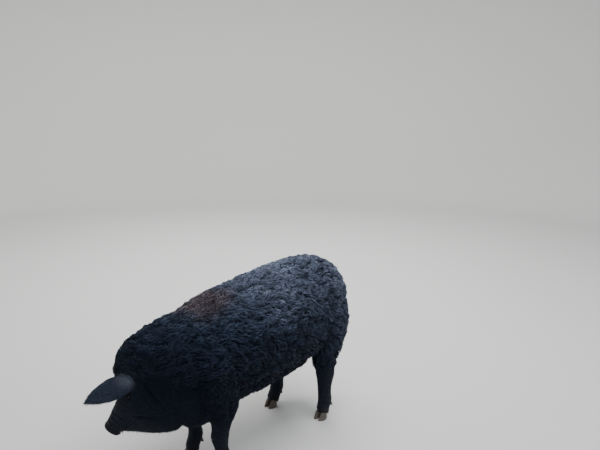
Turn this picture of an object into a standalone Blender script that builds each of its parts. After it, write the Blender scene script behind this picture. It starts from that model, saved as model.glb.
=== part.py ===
"""A life-size domestic pig with a curly black coat, standing with its head lowered and turned to its right.

Metres, +Z up, floor at Z 0. +X runs forward along the trunk and +Y to the animal's left.
"""

import math

import bpy
import bmesh
import numpy as np
from mathutils import Matrix, Vector
from mathutils.bvhtree import BVHTree

# Driving sizes of the living animal, over its skin

CROUP_HEIGHT = 0.822
WITHERS_HEIGHT = 0.752
BELLY_CLEARANCE = 0.318
TRUNK_BACK = -0.584
TRUNK_HALF_WIDTH = 0.222
TRUNK_SIDES = 28

# The coat over the skin: its tips, the dense core that they grow from, and the short hair of the face
COAT_DEPTH = 0.026
CORE_DEPTH = 0.010
FACE_COAT = 0.002

# Clumps of the coat: length, width and share of each size
CLUMP_SIZES = {
    "long": (0.150, 0.112, 0.35),
    "middle": (0.132, 0.104, 0.40),
    "short": (0.116, 0.096, 0.25),
}
CLUMP_COUNT = 240
CLUMP_SINK = 0.008
CLUMP_SEED = 11
BODY_TRIANGLES = 7900
SWITCH_TRIANGLES = 520

HEAD_LENGTH = 0.266
HEAD_ROOT = Vector((0.548, -0.022, 0.551))
HEAD_PITCH = math.radians(53.5)
HEAD_YAW = math.radians(-34)
HEAD_ROLL = math.radians(8)
HEAD_SIDES = 32

SNOUT_HALF_WIDTH = 0.041
SNOUT_HALF_HEIGHT = 0.036
SNOUT_DEPTH = 0.020
SNOUT_SIDES = 28
NOSTRIL_SPREAD = 0.0170
NOSTRIL_RADIUS = 0.0080

MOUTH_GAP = 0.0026
MOUTH_CORNER = 0.159

EAR_LENGTH = 0.205
EAR_WIDTH = 0.130
EAR_THICKNESS = 0.0070
EAR_ROOT = (0.022, 0.082, 0.082)
EAR_WAY = (0.790, 0.354, 0.500)
EAR_BACK = (-0.40, 0.60, 0.69)
FAR_EAR_WAY = (0.640, 0.700, -0.020)

EYE_RADIUS = 0.0120
EYE_SPOT = (0.098, 0.040)
EYE_SINK = 0.0102
LID_THICKNESS = 0.0026

CLAW_LENGTH = 0.060
CLAW_WIDTH = 0.030
CLAW_HEIGHT = 0.036
DEWCLAW_LENGTH = 0.030
DEWCLAW_RADIUS = 0.0095

TAIL_RADIUS = 0.017

GAP = 0.0003


def clear_scene():
    """Removes whatever the scene holds."""
    for thing in list(bpy.data.objects):
        bpy.data.objects.remove(thing)


def head_frame():
    """The head's own frame: X runs from the poll to the snout, Y to its left, Z out of the brow."""
    turn = Matrix.Rotation(HEAD_YAW, 4, "Z") @ Matrix.Rotation(HEAD_PITCH, 4, "Y")
    return Matrix.Translation(HEAD_ROOT) @ turn @ Matrix.Rotation(HEAD_ROLL, 4, "X")


def oval(centre, forward, up, width, rise, drop, sides, power=2.0):
    """One ring of a loft, square to forward: rise over the centre, drop below it, width to each side."""
    forward = forward.normalized()
    left = up.cross(forward).normalized()
    top = forward.cross(left)
    points = []
    for k in range(sides):
        turn = 2 * math.pi * k / sides
        c, s = math.cos(turn), math.sin(turn)
        out = math.copysign(abs(c) ** (2 / power), c) * width
        lift = math.copysign(abs(s) ** (2 / power), s) * (rise if s > 0 else drop)
        points.append(centre + left * out + top * lift)
    return points


def loft(bm, rings):
    """Adds a closed tube through rings of equally many points, its ends drawn to their middles."""
    rows = [[bm.verts.new(p) for p in ring] for ring in rings]
    count = len(rows[0])
    for first, second in zip(rows, rows[1:]):
        for k in range(count):
            n = (k + 1) % count
            bm.faces.new((first[k], first[n], second[n], second[k]))
    for row, order in ((rows[0], -1), (rows[-1], 1)):
        middle = sum((v.co for v in row), Vector()) / count
        hub = bm.verts.new(middle)
        for k in range(count):
            n = (k + 1) % count
            bm.faces.new((hub, row[k], row[n]) if order > 0 else (hub, row[n], row[k]))


def spline(stations, steps):
    """Rows of numbers read off a smooth Catmull-Rom curve through the station rows."""
    rows = [np.array(s, float) for s in stations]
    rows = [2 * rows[0] - rows[1], *rows, 2 * rows[-1] - rows[-2]]
    read = []
    for a, b, c, d in zip(rows, rows[1:], rows[2:], rows[3:]):
        for k in range(steps):
            t = k / steps
            read.append(0.5 * (2 * b + (c - a) * t + (2 * a - 5 * b + 4 * c - d) * t * t
                               + (3 * b - a - 3 * c + d) * t ** 3))
    read.append(rows[-2])
    return read


def trunk_stations():
    """Along X, top, underside and half width of the trunk, from the rump to the front of the chest."""
    high, low, wide = CROUP_HEIGHT, BELLY_CLEARANCE, TRUNK_HALF_WIDTH
    return [
        (TRUNK_BACK, 0.82 * high, low + 0.235, 0.30 * wide),
        (-0.570, 0.888 * high, low + 0.175, 0.53 * wide),
        (-0.522, 0.957 * high, low + 0.110, 0.71 * wide),
        (-0.450, 0.994 * high, low + 0.058, 0.82 * wide),
        (-0.360, high, low + 0.030, 0.875 * wide),
        (-0.230, 0.998 * high, low + 0.008, 0.945 * wide),
        (-0.070, 0.985 * high, low, wide),
        (0.080, 0.965 * high, low - 0.002, wide),
        (0.200, WITHERS_HEIGHT + 0.022, low - 0.008, 0.95 * wide),
        (0.310, WITHERS_HEIGHT, low - 0.046, 0.87 * wide),
        (0.400, WITHERS_HEIGHT - 0.034, low - 0.058, 0.74 * wide),
        (0.470, WITHERS_HEIGHT - 0.090, low - 0.006, 0.58 * wide),
    ]


def add_trunk(bm, coat):
    """The barrel, croup and chest."""
    rings = []
    for x, top, bottom, width in spline(trunk_stations(), 3):
        middle = 0.52 * top + 0.48 * bottom
        rings.append(oval(Vector((x, 0, middle)), Vector((1, 0, 0)), Vector((0, 0, 1)),
                          width + coat, top - middle + coat, middle - bottom + coat,
                          TRUNK_SIDES, 2.25))
    loft(bm, rings)


# Neck: centre, way it runs, half width, rise, drop
NECK_STATIONS = [
    (0.280, 0.000, 0.560, 1.00, 0.00, 0.00, 0.168, 0.172, 0.240),
    (0.390, 0.000, 0.550, 1.00, -0.05, -0.08, 0.166, 0.192, 0.262),
    (0.465, -0.006, 0.534, 0.96, -0.20, -0.22, 0.156, 0.196, 0.272),
    (0.520, -0.018, 0.516, 0.86, -0.34, -0.42, 0.138, 0.196, 0.258),
    (0.562, -0.034, 0.500, 0.70, -0.40, -0.60, 0.112, 0.170, 0.214),
    (0.592, -0.052, 0.480, 0.60, -0.40, -0.70, 0.086, 0.134, 0.160),
]


def add_neck(bm, coat):
    """The neck, from inside the shoulders to the back of the skull, bending right and down."""
    rings = []
    for x, y, z, a, b, c, width, rise, drop in spline(NECK_STATIONS, 3):
        thick = coat * min(1.0, max(0.25, 1.0 - (x - 0.44) / 0.14))
        rings.append(oval(Vector((x, y, z)), Vector((a, b, c)), Vector((0, 0, 1)),
                          width + thick, rise + thick, drop + thick, TRUNK_SIDES, 2.15))
    loft(bm, rings)


# Head: along the head's X, half width, rise over it, drop under it
HEAD_STATIONS = [
    (-0.045, 0.094, 0.108, 0.130),
    (0.000, 0.106, 0.120, 0.172),
    (0.045, 0.111, 0.106, 0.205),
    (0.090, 0.108, 0.078, 0.226),
    (0.130, 0.097, 0.062, 0.228),
    (0.162, 0.082, 0.055, 0.205),
    (0.193, 0.065, 0.050, 0.166),
    (0.219, 0.053, 0.046, 0.119),
    (0.241, 0.046, 0.042, 0.076),
    (0.257, 0.042, 0.039, 0.046),
    (0.274, 0.041, 0.036, 0.028),
]


def add_head(bm, coat):
    """Skull, cheeks, jowls and muzzle, up to where the snout's disc sits."""
    skull = head_frame()
    turn = skull.to_3x3()
    rings = []
    for along, width, rise, drop in spline(HEAD_STATIONS, 3):
        rings.append(oval(skull @ Vector((along, 0, 0)), turn @ Vector((1, 0, 0)),
                          turn @ Vector((0, 0, 1)), width + coat, rise + coat, drop + coat,
                          HEAD_SIDES, 2.2))
    loft(bm, rings)


# Legs: along X from the foot, out from the midline, height, half length, half width
FORELEG = [
    (0.040, 0.085, 0.660, 0.095, 0.070),
    (0.040, 0.118, 0.560, 0.112, 0.088),
    (0.010, 0.134, 0.455, 0.094, 0.072),
    (-0.012, 0.128, 0.380, 0.070, 0.060),
    (-0.018, 0.124, 0.310, 0.052, 0.047),
    (-0.018, 0.123, 0.245, 0.039, 0.036),
    (-0.014, 0.121, 0.205, 0.038, 0.036),
    (-0.022, 0.120, 0.150, 0.029, 0.029),
    (-0.030, 0.120, 0.105, 0.033, 0.033),
    (-0.020, 0.120, 0.074, 0.032, 0.034),
    (-0.008, 0.120, 0.048, 0.029, 0.034),
    (-0.014, 0.120, 0.032, 0.022, 0.031),
    (-0.017, 0.120, 0.019, 0.013, 0.024),
]
HINDLEG = [
    (-0.030, 0.070, 0.680, 0.120, 0.080),
    (-0.044, 0.100, 0.570, 0.128, 0.100),
    (-0.052, 0.122, 0.480, 0.120, 0.088),
    (-0.046, 0.133, 0.405, 0.102, 0.070),
    (-0.036, 0.135, 0.340, 0.080, 0.053),
    (-0.022, 0.134, 0.285, 0.062, 0.043),
    (-0.020, 0.131, 0.235, 0.051, 0.038),
    (-0.018, 0.128, 0.175, 0.037, 0.033),
    (-0.020, 0.126, 0.125, 0.034, 0.032),
    (-0.024, 0.125, 0.098, 0.035, 0.034),
    (-0.018, 0.125, 0.072, 0.032, 0.034),
    (-0.008, 0.125, 0.048, 0.029, 0.034),
    (-0.014, 0.125, 0.032, 0.022, 0.031),
    (-0.017, 0.125, 0.019, 0.013, 0.024),
]
LEG_SIDES = 16

# Each foot: its X, side, a shift of its hock or knee back, and how far out it stands
FEET = {
    "foreleg_left": (0.322, 1, 0.000, 0.95),
    "foreleg_right": (0.272, -1, 0.000, 1.00),
    "hindleg_left": (-0.392, 1, 0.000, 1.03),
    "hindleg_right": (-0.322, -1, 0.030, 1.22),
}


def leg_rows(name):
    """The centre line and thickness of one leg, from inside the trunk down to the heel of its foot."""
    foot, side, back, out_share = FEET[name]
    rows = []
    for along, out, height, half_length, half_width in spline(
            FORELEG if name.startswith("fore") else HINDLEG, 3):
        lean = back * math.sin(math.pi * min(1.0, max(0.0, (height - 0.03) / 0.42)))
        hip = 1.0 if name.startswith("fore") else min(1.0, max(0.0, (height - 0.25) / 0.25))
        level = 0.0 if name.startswith("fore") else hip * (-0.398 - foot)
        spread = 1 + (out_share - 1) * min(1.0, max(0.0, (0.45 - height) / 0.35))
        rows.append((foot + along - lean + level, side * out * spread, height,
                     half_length, half_width))
    return rows


def add_leg(bm, name, coat):
    """One leg, from inside the trunk to the flesh over its claws."""
    rings = []
    rows = leg_rows(name)
    for k, (x, y, height, half_length, half_width) in enumerate(rows):
        before, after = rows[max(k - 1, 0)], rows[min(k + 1, len(rows) - 1)]
        way = Vector((after[0] - before[0], after[1] - before[1], after[2] - before[2]))
        if height < 0.09:
            way = Vector((0, 0, -1))
        thick = coat * min(1.0, max(0.0, (height - 0.28) / 0.14))
        rings.append(oval(Vector((x, y, height)), way, Vector((1, 0, 0)),
                          half_width + thick, half_length + thick, half_length + thick,
                          LEG_SIDES, 2.1))
    loft(bm, rings)


def ridge(distance, width):
    """One at no distance, falling smoothly to nothing within about twice the width."""
    return np.exp(-(distance / width) ** 2)


def window(values, low, high, soft):
    """One between two values, falling to nothing over a soft width outside them."""
    return np.clip((values - low) / soft + 1, 0, 1) * np.clip((high - values) / soft + 1, 0, 1)


# Line of the mouth in the head's frame: X, half width there, Z
MOUTH_LINE = [(MOUTH_CORNER, 0.078, -0.046), (0.180, 0.062, -0.0465), (0.201, 0.053, -0.042),
              (0.222, 0.047, -0.036), (0.2405, 0.043, -0.031)]


def face_relief(spots):
    """How far the face stands out at points of the head's frame: brows, lips, folds and wrinkles."""
    x, y, z = spots[:, 0], np.abs(spots[:, 1]), spots[:, 2]
    side = np.clip((y - 0.040) / 0.020, 0, 1)
    brow = 0.0050 * ridge(np.hypot(x - 0.080, (z - 0.062) * 1.5), 0.026) * side
    bag = 0.0028 * ridge(np.hypot(x - 0.106, (z - 0.016) * 1.5), 0.016) * side
    line = [row[0] for row in MOUTH_LINE]
    mouth = z - np.interp(x, line, [row[2] for row in MOUTH_LINE])
    lips = 0.0030 * window(x, MOUTH_CORNER, 0.2405, 0.012)
    lips *= ridge(mouth - 0.0075, 0.0065) + ridge(mouth + 0.0075, 0.0065)
    corner = -0.0045 * ridge(x - 0.146 - 0.5 * (z + 0.050), 0.008) * window(z, -0.095, -0.040, 0.02) * side
    cheek = -0.0050 * ridge(x - 0.030 + 0.40 * (z + 0.020), 0.010) * window(z, -0.110, 0.010, 0.03) * side
    wrinkles = sum(ridge(x - at - 0.15 * y, 0.0045) for at in (0.210, 0.2255, 0.2405))
    wrinkles = -0.0022 * wrinkles * window(z, 0.000, 0.080, 0.015)
    return brow + bag + lips + corner + cheek + wrinkles


def shape_face(thing):
    """Moves the points of a fine mesh of the head out and in by the relief of the face."""
    count = len(thing.data.vertices)
    points, normals = np.empty(count * 3), np.empty(count * 3)
    thing.data.vertices.foreach_get("co", points)
    thing.data.vertices.foreach_get("normal", normals)
    points, normals = points.reshape(-1, 3), normals.reshape(-1, 3)
    back = np.array(head_frame().inverted())
    spots = points @ back[:3, :3].T + back[:3, 3]
    points = points + normals * face_relief(spots)[:, None]
    thing.data.vertices.foreach_set("co", points.ravel())
    thing.data.update()


def as_object(name, bm):
    """A new object that holds the bmesh."""
    mesh = bpy.data.meshes.new(name)
    bmesh.ops.recalc_face_normals(bm, faces=bm.faces)
    bm.to_mesh(mesh)
    bm.free()
    thing = bpy.data.objects.new(name, mesh)
    bpy.context.scene.collection.objects.link(thing)
    return thing


def applied(thing):
    """Turns an object's modifiers into its mesh."""
    graph = bpy.context.evaluated_depsgraph_get()
    mesh = bpy.data.meshes.new_from_object(thing.evaluated_get(graph))
    thing.modifiers.clear()
    old = thing.data
    thing.data = mesh
    bpy.data.meshes.remove(old)
    return thing


def blend_share(points):
    """How much more each point is evened out: all over the shoulders and loins, where the forms meet."""
    x, z = points[:, 0], points[:, 2]
    shoulder = np.clip((x - 0.10) / 0.10, 0, 1) * np.clip((0.56 - x) / 0.10, 0, 1)
    haunch = np.clip((x + 0.50) / 0.08, 0, 1) * np.clip((-0.16 - x) / 0.10, 0, 1)
    return (np.maximum(shoulder, haunch) * np.clip((z - 0.26) / 0.12, 0, 1))[:, None]


def smoothed(mesh, rounds, more=0, keep=0.53):
    """Evens a mesh out by moving each point to and fro between its neighbours, which keeps its volume."""
    count = len(mesh.vertices)
    points = np.empty(count * 3)
    mesh.vertices.foreach_get("co", points)
    points = points.reshape(-1, 3)
    ends = np.empty(len(mesh.edges) * 2, np.int32)
    mesh.edges.foreach_get("vertices", ends)
    ends = ends.reshape(-1, 2)
    degree = np.bincount(ends.ravel(), minlength=count)[:, None]
    share = np.ones((count, 1))
    for k in range(rounds + more):
        if k == rounds:
            share = blend_share(points)
        for pull in (0.5, -keep):
            total = np.zeros_like(points)
            np.add.at(total, ends[:, 0], points[ends[:, 1]])
            np.add.at(total, ends[:, 1], points[ends[:, 0]])
            points = points + pull * share * (total / degree - points)
    mesh.vertices.foreach_set("co", points.ravel())
    mesh.update()


def body_form(voxel, rounds, more, coat, face_coat):
    """The whole body as one smooth skin, with no ears, tail or claws."""
    bm = bmesh.new()
    add_trunk(bm, coat)
    add_neck(bm, coat * 0.9)
    add_head(bm, face_coat)
    for name in FEET:
        add_leg(bm, name, coat * 0.8)
    body = as_object("body_form", bm)
    remesh = body.modifiers.new("Skin", "REMESH")
    remesh.mode = "VOXEL"
    remesh.voxel_size = voxel
    applied(body)
    smoothed(body.data, rounds, more)
    return body


def combine(thing, other, operation, solver="EXACT", drop=True):
    """Applies one Boolean of thing with other, and removes other unless it is kept."""
    cut = thing.modifiers.new("Cut", "BOOLEAN")
    cut.operation = operation
    cut.solver = solver
    cut.object = other
    applied(thing)
    if drop:
        bpy.data.objects.remove(other)
    return thing


def duplicate(thing, name):
    """A copy with its own mesh."""
    copy = bpy.data.objects.new(name, thing.data.copy())
    copy.matrix_world = thing.matrix_world.copy()
    bpy.context.scene.collection.objects.link(copy)
    return copy


def thinned(thing, triangles):
    """Collapses the mesh to about the given number of triangles."""
    thing.data.calc_loop_triangles()
    now = len(thing.data.loop_triangles)
    if now > triangles:
        collapse = thing.modifiers.new("Thin", "DECIMATE")
        collapse.ratio = triangles / now
        collapse.use_collapse_triangulate = True
        applied(thing)
    return thing


def largest(thing):
    """Keeps only the largest closed surface of a mesh, taking faces as joined where they share an edge."""
    bm = bmesh.new()
    bm.from_mesh(thing.data)
    bmesh.ops.remove_doubles(bm, verts=bm.verts, dist=1e-6)
    bmesh.ops.triangulate(bm, faces=bm.faces)
    seen = set()
    groups = []
    for start in bm.faces:
        if start in seen:
            continue
        seen.add(start)
        stack = [start]
        group = []
        while stack:
            face = stack.pop()
            group.append(face)
            for edge in face.edges:
                for other in edge.link_faces:
                    if other not in seen:
                        seen.add(other)
                        stack.append(other)
        groups.append(group)

    def bulk(group):
        points = np.array([v.co for face in group for v in face.verts])
        return float(np.prod(points.max(0) - points.min(0)))

    groups.sort(key=bulk)
    lost = [face for group in groups[:-1] for face in group]
    bmesh.ops.delete(bm, geom=lost, context="FACES")
    bmesh.ops.delete(bm, geom=[v for v in bm.verts if not v.link_faces], context="VERTS")
    bm.to_mesh(thing.data)
    bm.free()
    return thing


def opened(thing):
    """Draws together the ends of every edge along which the surface touches itself."""
    bm = bmesh.new()
    bm.from_mesh(thing.data)
    for _ in range(12):
        bmesh.ops.remove_doubles(bm, verts=bm.verts, dist=2e-6)
        touching = [edge for edge in bm.edges if len(edge.link_faces) != 2]
        if not touching:
            break
        bmesh.ops.collapse(bm, edges=touching)
        bmesh.ops.dissolve_degenerate(bm, dist=1e-7, edges=bm.edges)
    bm.to_mesh(thing.data)
    bm.free()
    return thing


def grown(thing, by):
    """A copy whose points all lie a little further out, to cut a clear gap with."""
    copy = duplicate(thing, thing.name + "_grown")
    bm = bmesh.new()
    bm.from_mesh(copy.data)
    bm.normal_update()
    for v in bm.verts:
        v.co += v.normal * by * min(2.0, v.calc_shell_factor())
    bm.to_mesh(copy.data)
    bm.free()
    return copy


def block(name, frame, low, high):
    """A box between two corners of the given frame."""
    bm = bmesh.new()
    bmesh.ops.create_cube(bm, size=1.0)
    size = Vector(high) - Vector(low)
    middle = (Vector(high) + Vector(low)) / 2
    for v in bm.verts:
        v.co = frame @ (Vector((v.co.x * size.x, v.co.y * size.y, v.co.z * size.z)) + middle)
    return as_object(name, bm)


# Cuts between the nodes: a point of the plane and the way it faces
def head_cut():
    """The plane behind the ears and jowls, as a frame whose X points into the head."""
    skull = head_frame()
    x = (skull.to_3x3() @ Vector((0.93, 0, 0.37))).normalized()
    y = (skull.to_3x3() @ Vector((0, 1, 0))).normalized()
    z = x.cross(y)
    turn = Matrix((x, y, z)).transposed().to_4x4()
    return Matrix.Translation(skull @ Vector((-0.012, 0, 0))) @ turn


def head_zone(slack):
    """The block that holds the whole head. Slack shrinks it all round."""
    return block("head_zone", head_cut(), (slack, slack - HEAD_ZONE_HALF, slack - HEAD_ZONE_DROP),
                 (1, HEAD_ZONE_HALF - slack, 1))


def neck_cut():
    """The plane in front of the shoulders, as a frame whose X points up the neck."""
    x = Vector((0.98, -0.05, -0.19)).normalized()
    y = Vector((0.05, 1, 0)).normalized()
    z = x.cross(y).normalized()
    y = z.cross(x)
    turn = Matrix((x, y, z)).transposed().to_4x4()
    return Matrix.Translation(Vector((0.425, 0, 0.55))) @ turn


HEAD_ZONE_HALF = 0.138
HEAD_ZONE_DROP = 0.290

# Tail: centre line and share of its thickness, from inside the croup to under the switch
TAIL_PATH = [
    (-0.545, 0.004, 0.705, 1.00), (-0.592, 0.006, 0.708, 0.95), (-0.626, 0.008, 0.690, 0.82),
    (-0.642, 0.010, 0.650, 0.70), (-0.646, 0.014, 0.595, 0.60), (-0.648, 0.018, 0.535, 0.52),
    (-0.650, 0.020, 0.480, 0.50), (-0.651, 0.021, 0.440, 0.30),
]
SWITCH_LOCKS = 8
SWITCH_LENGTHS = {"long": 0.165, "short": 0.125}

# Leg zones: back, front, top of the arch, inner side
LEG_ZONES = {
    "foreleg": (0.185, 0.405, 0.475, 0.040),
    "hindleg": (-0.680, -0.300, 0.530, 0.030),
}


def leg_zone(name, slack):
    """The upright arch, seen from the side, that holds one leg. Slack shrinks it all round."""
    back, front, top, inner = LEG_ZONES[name.split("_")[0]]
    side = FEET[name][1]
    half = (front - back) / 2 - slack
    middle = (front + back) / 2
    spring = top - min(half, 0.13)
    outline = [(middle + half, -0.05)]
    for k in range(9):
        turn = math.pi * k / 8
        outline.append((middle + half * math.cos(turn),
                        spring + (top - slack - spring) * math.sin(turn)))
    outline.append((middle - half, -0.05))
    bm = bmesh.new()
    near = [bm.verts.new((x, side * (inner + slack), z)) for x, z in outline]
    far = [bm.verts.new((x, side * 0.42, z)) for x, z in outline]
    bm.faces.new(near)
    bm.faces.new(list(reversed(far)))
    for k in range(len(outline)):
        n = (k + 1) % len(outline)
        bm.faces.new((near[n], near[k], far[k], far[n]))
    return as_object(name + "_zone", bm)


def coat_lie(point, normal):
    """The way the coat lies on the body: back along the trunk, and down over the rump and the legs."""
    rump = min(1.0, max(0.0, (-0.42 - point.x) / 0.14))
    leg = min(1.0, max(0.0, (0.52 - point.z) / 0.16)) if abs(point.y) > 0.05 else 0.0
    down = max(rump, leg)
    way = Vector((-1.0, 0, -0.40)) * (1 - down) + Vector((-0.15, 0, -1.0)) * down
    return (way - normal * way.dot(normal)).normalized()


def on_coat(point):
    """Whether clumps grow at a point: not on the head, the shanks or round the root of the tail."""
    if point.z < 0.315 or (point - Vector(TAIL_PATH[0][:3])).length < 0.075:
        return False
    ahead = head_cut().inverted() @ point
    return not (ahead.x > -0.012 and abs(ahead.y) < HEAD_ZONE_HALF and ahead.z > -HEAD_ZONE_DROP)


def clump(name, tree, fringe, point, normal, sizes, turn, lean, proud):
    """One rounded clump, its root sunk in the core and its back as high as the coat."""
    length, width = sizes
    way = (Matrix.Rotation(turn, 3, normal) @ coat_lie(point, normal)).normalized()
    side = normal.cross(way)
    outline = ((-0.90, -1.0), (-0.80, 0.30), (-0.32, 0.98), (0.32, 0.98), (0.80, 0.30), (0.90, -1.0))

    def spot(along, out, lift):
        start = point + way * along * length + side * (out * width / 2 + lean * along * along * length)
        base, up, _, _ = tree.find_nearest(start)
        over = fringe.ray_cast(base, up)[3]
        rise = proud * min(COAT_DEPTH - CORE_DEPTH, over if over is not None else 0.004)
        return base + up * (lift * rise if lift > 0 else lift * CLUMP_SINK)

    bm = bmesh.new()
    rows = []
    for along, wide, high in ((-0.34, 0.66, 0.45), (0.05, 1.0, 0.84), (0.36, 0.74, 1.0)):
        rows.append([bm.verts.new(spot(along, out * wide, lift * high if lift > 0 else lift))
                     for out, lift in outline])
    for first, second in zip(rows, rows[1:]):
        for k in range(6):
            n = (k + 1) % 6
            bm.faces.new((first[k], first[n], second[n], second[k]))
    for row, along, lift in ((rows[0], -0.50, -0.9), (rows[-1], 0.52, 0.10)):
        hub = bm.verts.new(spot(along, 0, lift))
        for k in range(6):
            bm.faces.new((hub, row[k], row[(k + 1) % 6]))
    bmesh.ops.triangulate(bm, faces=bm.faces)
    return as_object(name, bm)


def clump_places(mesh, draw):
    """Points spread evenly over the coat, each with the surface's normal there."""
    points = np.empty(len(mesh.vertices) * 3)
    normals = np.empty(len(mesh.vertices) * 3)
    mesh.vertices.foreach_get("co", points)
    mesh.vertices.foreach_get("normal", normals)
    points, normals = points.reshape(-1, 3), normals.reshape(-1, 3)
    kept = [k for k in range(len(points)) if on_coat(Vector(points[k]))]
    points, normals = points[kept], normals[kept]
    wide = np.where(normals[:, 2] < -0.6, 1.35, 1.0)
    pick = int(draw.integers(len(points)))
    apart = np.full(len(points), 9.0)
    picks = []
    for _ in range(CLUMP_COUNT):
        picks.append(pick)
        apart = np.minimum(apart, np.linalg.norm(points - points[pick], axis=1) / wide)
        pick = int(apart.argmax())
    centres = points[picks]
    for _ in range(12):
        far = np.linalg.norm(points[:, None] - centres[None], axis=2)
        owner = far.argmin(axis=1)
        for k in range(CLUMP_COUNT):
            mine = points[owner == k]
            if len(mine):
                centres[k] = mine.mean(axis=0)
    near = np.linalg.norm(points[:, None] - centres[None], axis=2).argmin(axis=0)
    return [(Vector(points[k]), Vector(normals[k])) for k in near]


def joined(thing, pieces, solver="EXACT"):
    """Unites an object with a collection of closed pieces, and removes them."""
    group = bpy.data.collections.new("pieces")
    bpy.context.scene.collection.children.link(group)
    for piece in pieces:
        bpy.context.scene.collection.objects.unlink(piece)
        group.objects.link(piece)
    union = thing.modifiers.new("Join", "BOOLEAN")
    union.operation = "UNION"
    union.solver = solver
    union.operand_type = "COLLECTION"
    union.collection = group
    applied(thing)
    for piece in pieces:
        bpy.data.objects.remove(piece)
    bpy.data.collections.remove(group)
    return thing


def add_clumps(body, core, fringe):
    """Covers the coated part of the body with rounded clumps, set close."""
    draw = np.random.default_rng(CLUMP_SEED)
    tree = BVHTree.FromPolygons([v.co for v in core.data.vertices],
                                [tuple(p.vertices) for p in core.data.polygons])
    over = BVHTree.FromPolygons([v.co for v in fringe.data.vertices],
                                [tuple(p.vertices) for p in fringe.data.polygons])
    sizes = list(CLUMP_SIZES.values())
    shares = [size[2] for size in sizes]
    clumps = []
    for k, (point, normal) in enumerate(clump_places(core.data, draw)):
        length, width, _ = sizes[int(draw.choice(len(sizes), p=shares))]
        grow = 1.25 if normal.z < -0.6 else 1.0
        clumps.append(clump(f"clump_{k}", tree, over, point, normal,
                            (length * grow, width * grow), float(draw.normal(0, 0.22)),
                            float(draw.uniform(-0.30, 0.30)), float(draw.uniform(0.80, 1.0))))
    return opened(thinned(largest(joined(body, clumps)), BODY_TRIANGLES))


def build_body(body, fine):
    """Parts the body into torso, neck, head and legs, each clear of the next by the gap."""
    world = Matrix.Identity(4)
    nodes = {}
    for name in FEET:
        leg = combine(duplicate(body, name), leg_zone(name, GAP / 2), "INTERSECT")
        nodes[name] = combine(leg, head_zone(-GAP / 2), "DIFFERENCE")
    neck = duplicate(body, "neck")
    combine(neck, block("front", neck_cut(), (GAP / 2, -1, -1), (1, 1, 1)), "INTERSECT")
    combine(neck, head_zone(-GAP / 2), "DIFFERENCE")
    for name in FEET:
        if name.startswith("fore"):
            combine(neck, leg_zone(name, -GAP / 2), "DIFFERENCE")
    nodes["neck"] = neck
    torso = duplicate(body, "torso")
    combine(torso, block("rear", neck_cut(), (-2, -1, -1), (-GAP / 2, 1, 1)), "INTERSECT")
    combine(torso, head_zone(-GAP / 2), "DIFFERENCE")
    for name in FEET:
        combine(torso, leg_zone(name, -GAP / 2), "DIFFERENCE")
    nodes["torso"] = torso
    head = duplicate(fine, "head")
    combine(head, head_zone(GAP / 2), "INTERSECT")
    combine(head, block("muzzle", head_frame(), (-1, -1, -1), (HEAD_LENGTH, 1, 1)), "INTERSECT")
    nodes["head"] = head
    for node in nodes.values():
        largest(node)
    return nodes


def surface_point(thing, start, way):
    """Where a ray first meets the object, and the surface's normal there."""
    hit, point, normal, _ = thing.ray_cast(start, way)
    if not hit:
        raise ValueError("the ray misses " + thing.name)
    return point, normal


def ball(name, centre, radius, rings=10, sides=16):
    """A sphere."""
    bm = bmesh.new()
    bmesh.ops.create_uvsphere(bm, u_segments=sides, v_segments=rings, radius=radius)
    bmesh.ops.translate(bm, verts=bm.verts, vec=centre)
    return as_object(name, bm)


def eye_place(head, side):
    """The middle of one eyeball and the way it looks, out of the head's surface."""
    skull = head_frame()
    start = skull @ Vector((EYE_SPOT[0], side * 0.3, EYE_SPOT[1]))
    way = (skull.to_3x3() @ Vector((0, -side, 0))).normalized()
    point, normal = surface_point(head, start, way)
    look = (normal + (skull.to_3x3() @ Vector((0.10, 0, 0.12)))).normalized()
    return point - normal * EYE_SINK, look


def add_eyes(nodes):
    """Eyeballs in their sockets, with a lid above and below each."""
    head = nodes["head"]
    skull = head_frame()
    places = {side: eye_place(head, side) for side in (1, -1)}
    for side, (centre, look) in places.items():
        combine(head, ball("lids", centre, EYE_RADIUS + LID_THICKNESS, 10, 16), "UNION")
    for side, (centre, look) in places.items():
        combine(head, ball("socket", centre, EYE_RADIUS + GAP, 9, 12), "DIFFERENCE")
        along = (skull.to_3x3() @ Vector((1.0, 0, -0.25))).normalized()
        along = (along - look * along.dot(look)).normalized()
        across = look.cross(along)
        bm = bmesh.new()
        near, far = [], []
        for k in range(16):
            turn = 2 * math.pi * k / 16
            c, s = math.cos(turn), math.sin(turn)
            reach = 0.0105 * c
            rise = 0.0064 * math.copysign(abs(s) ** 1.3, s)
            spot = centre + along * reach + across * rise
            near.append(bm.verts.new(spot + look * 0.003))
            far.append(bm.verts.new(spot + look * 0.05 + along * reach * 1.5 + across * rise * 1.5))
        bm.faces.new(near)
        bm.faces.new(list(reversed(far)))
        for k in range(16):
            n = (k + 1) % 16
            bm.faces.new((near[n], near[k], far[k], far[n]))
        combine(head, as_object("lid_slit", bm), "DIFFERENCE")
        name = "eye_left" if side > 0 else "eye_right"
        nodes[name] = ball(name, centre, EYE_RADIUS, 9, 12)
    largest(head)


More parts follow.
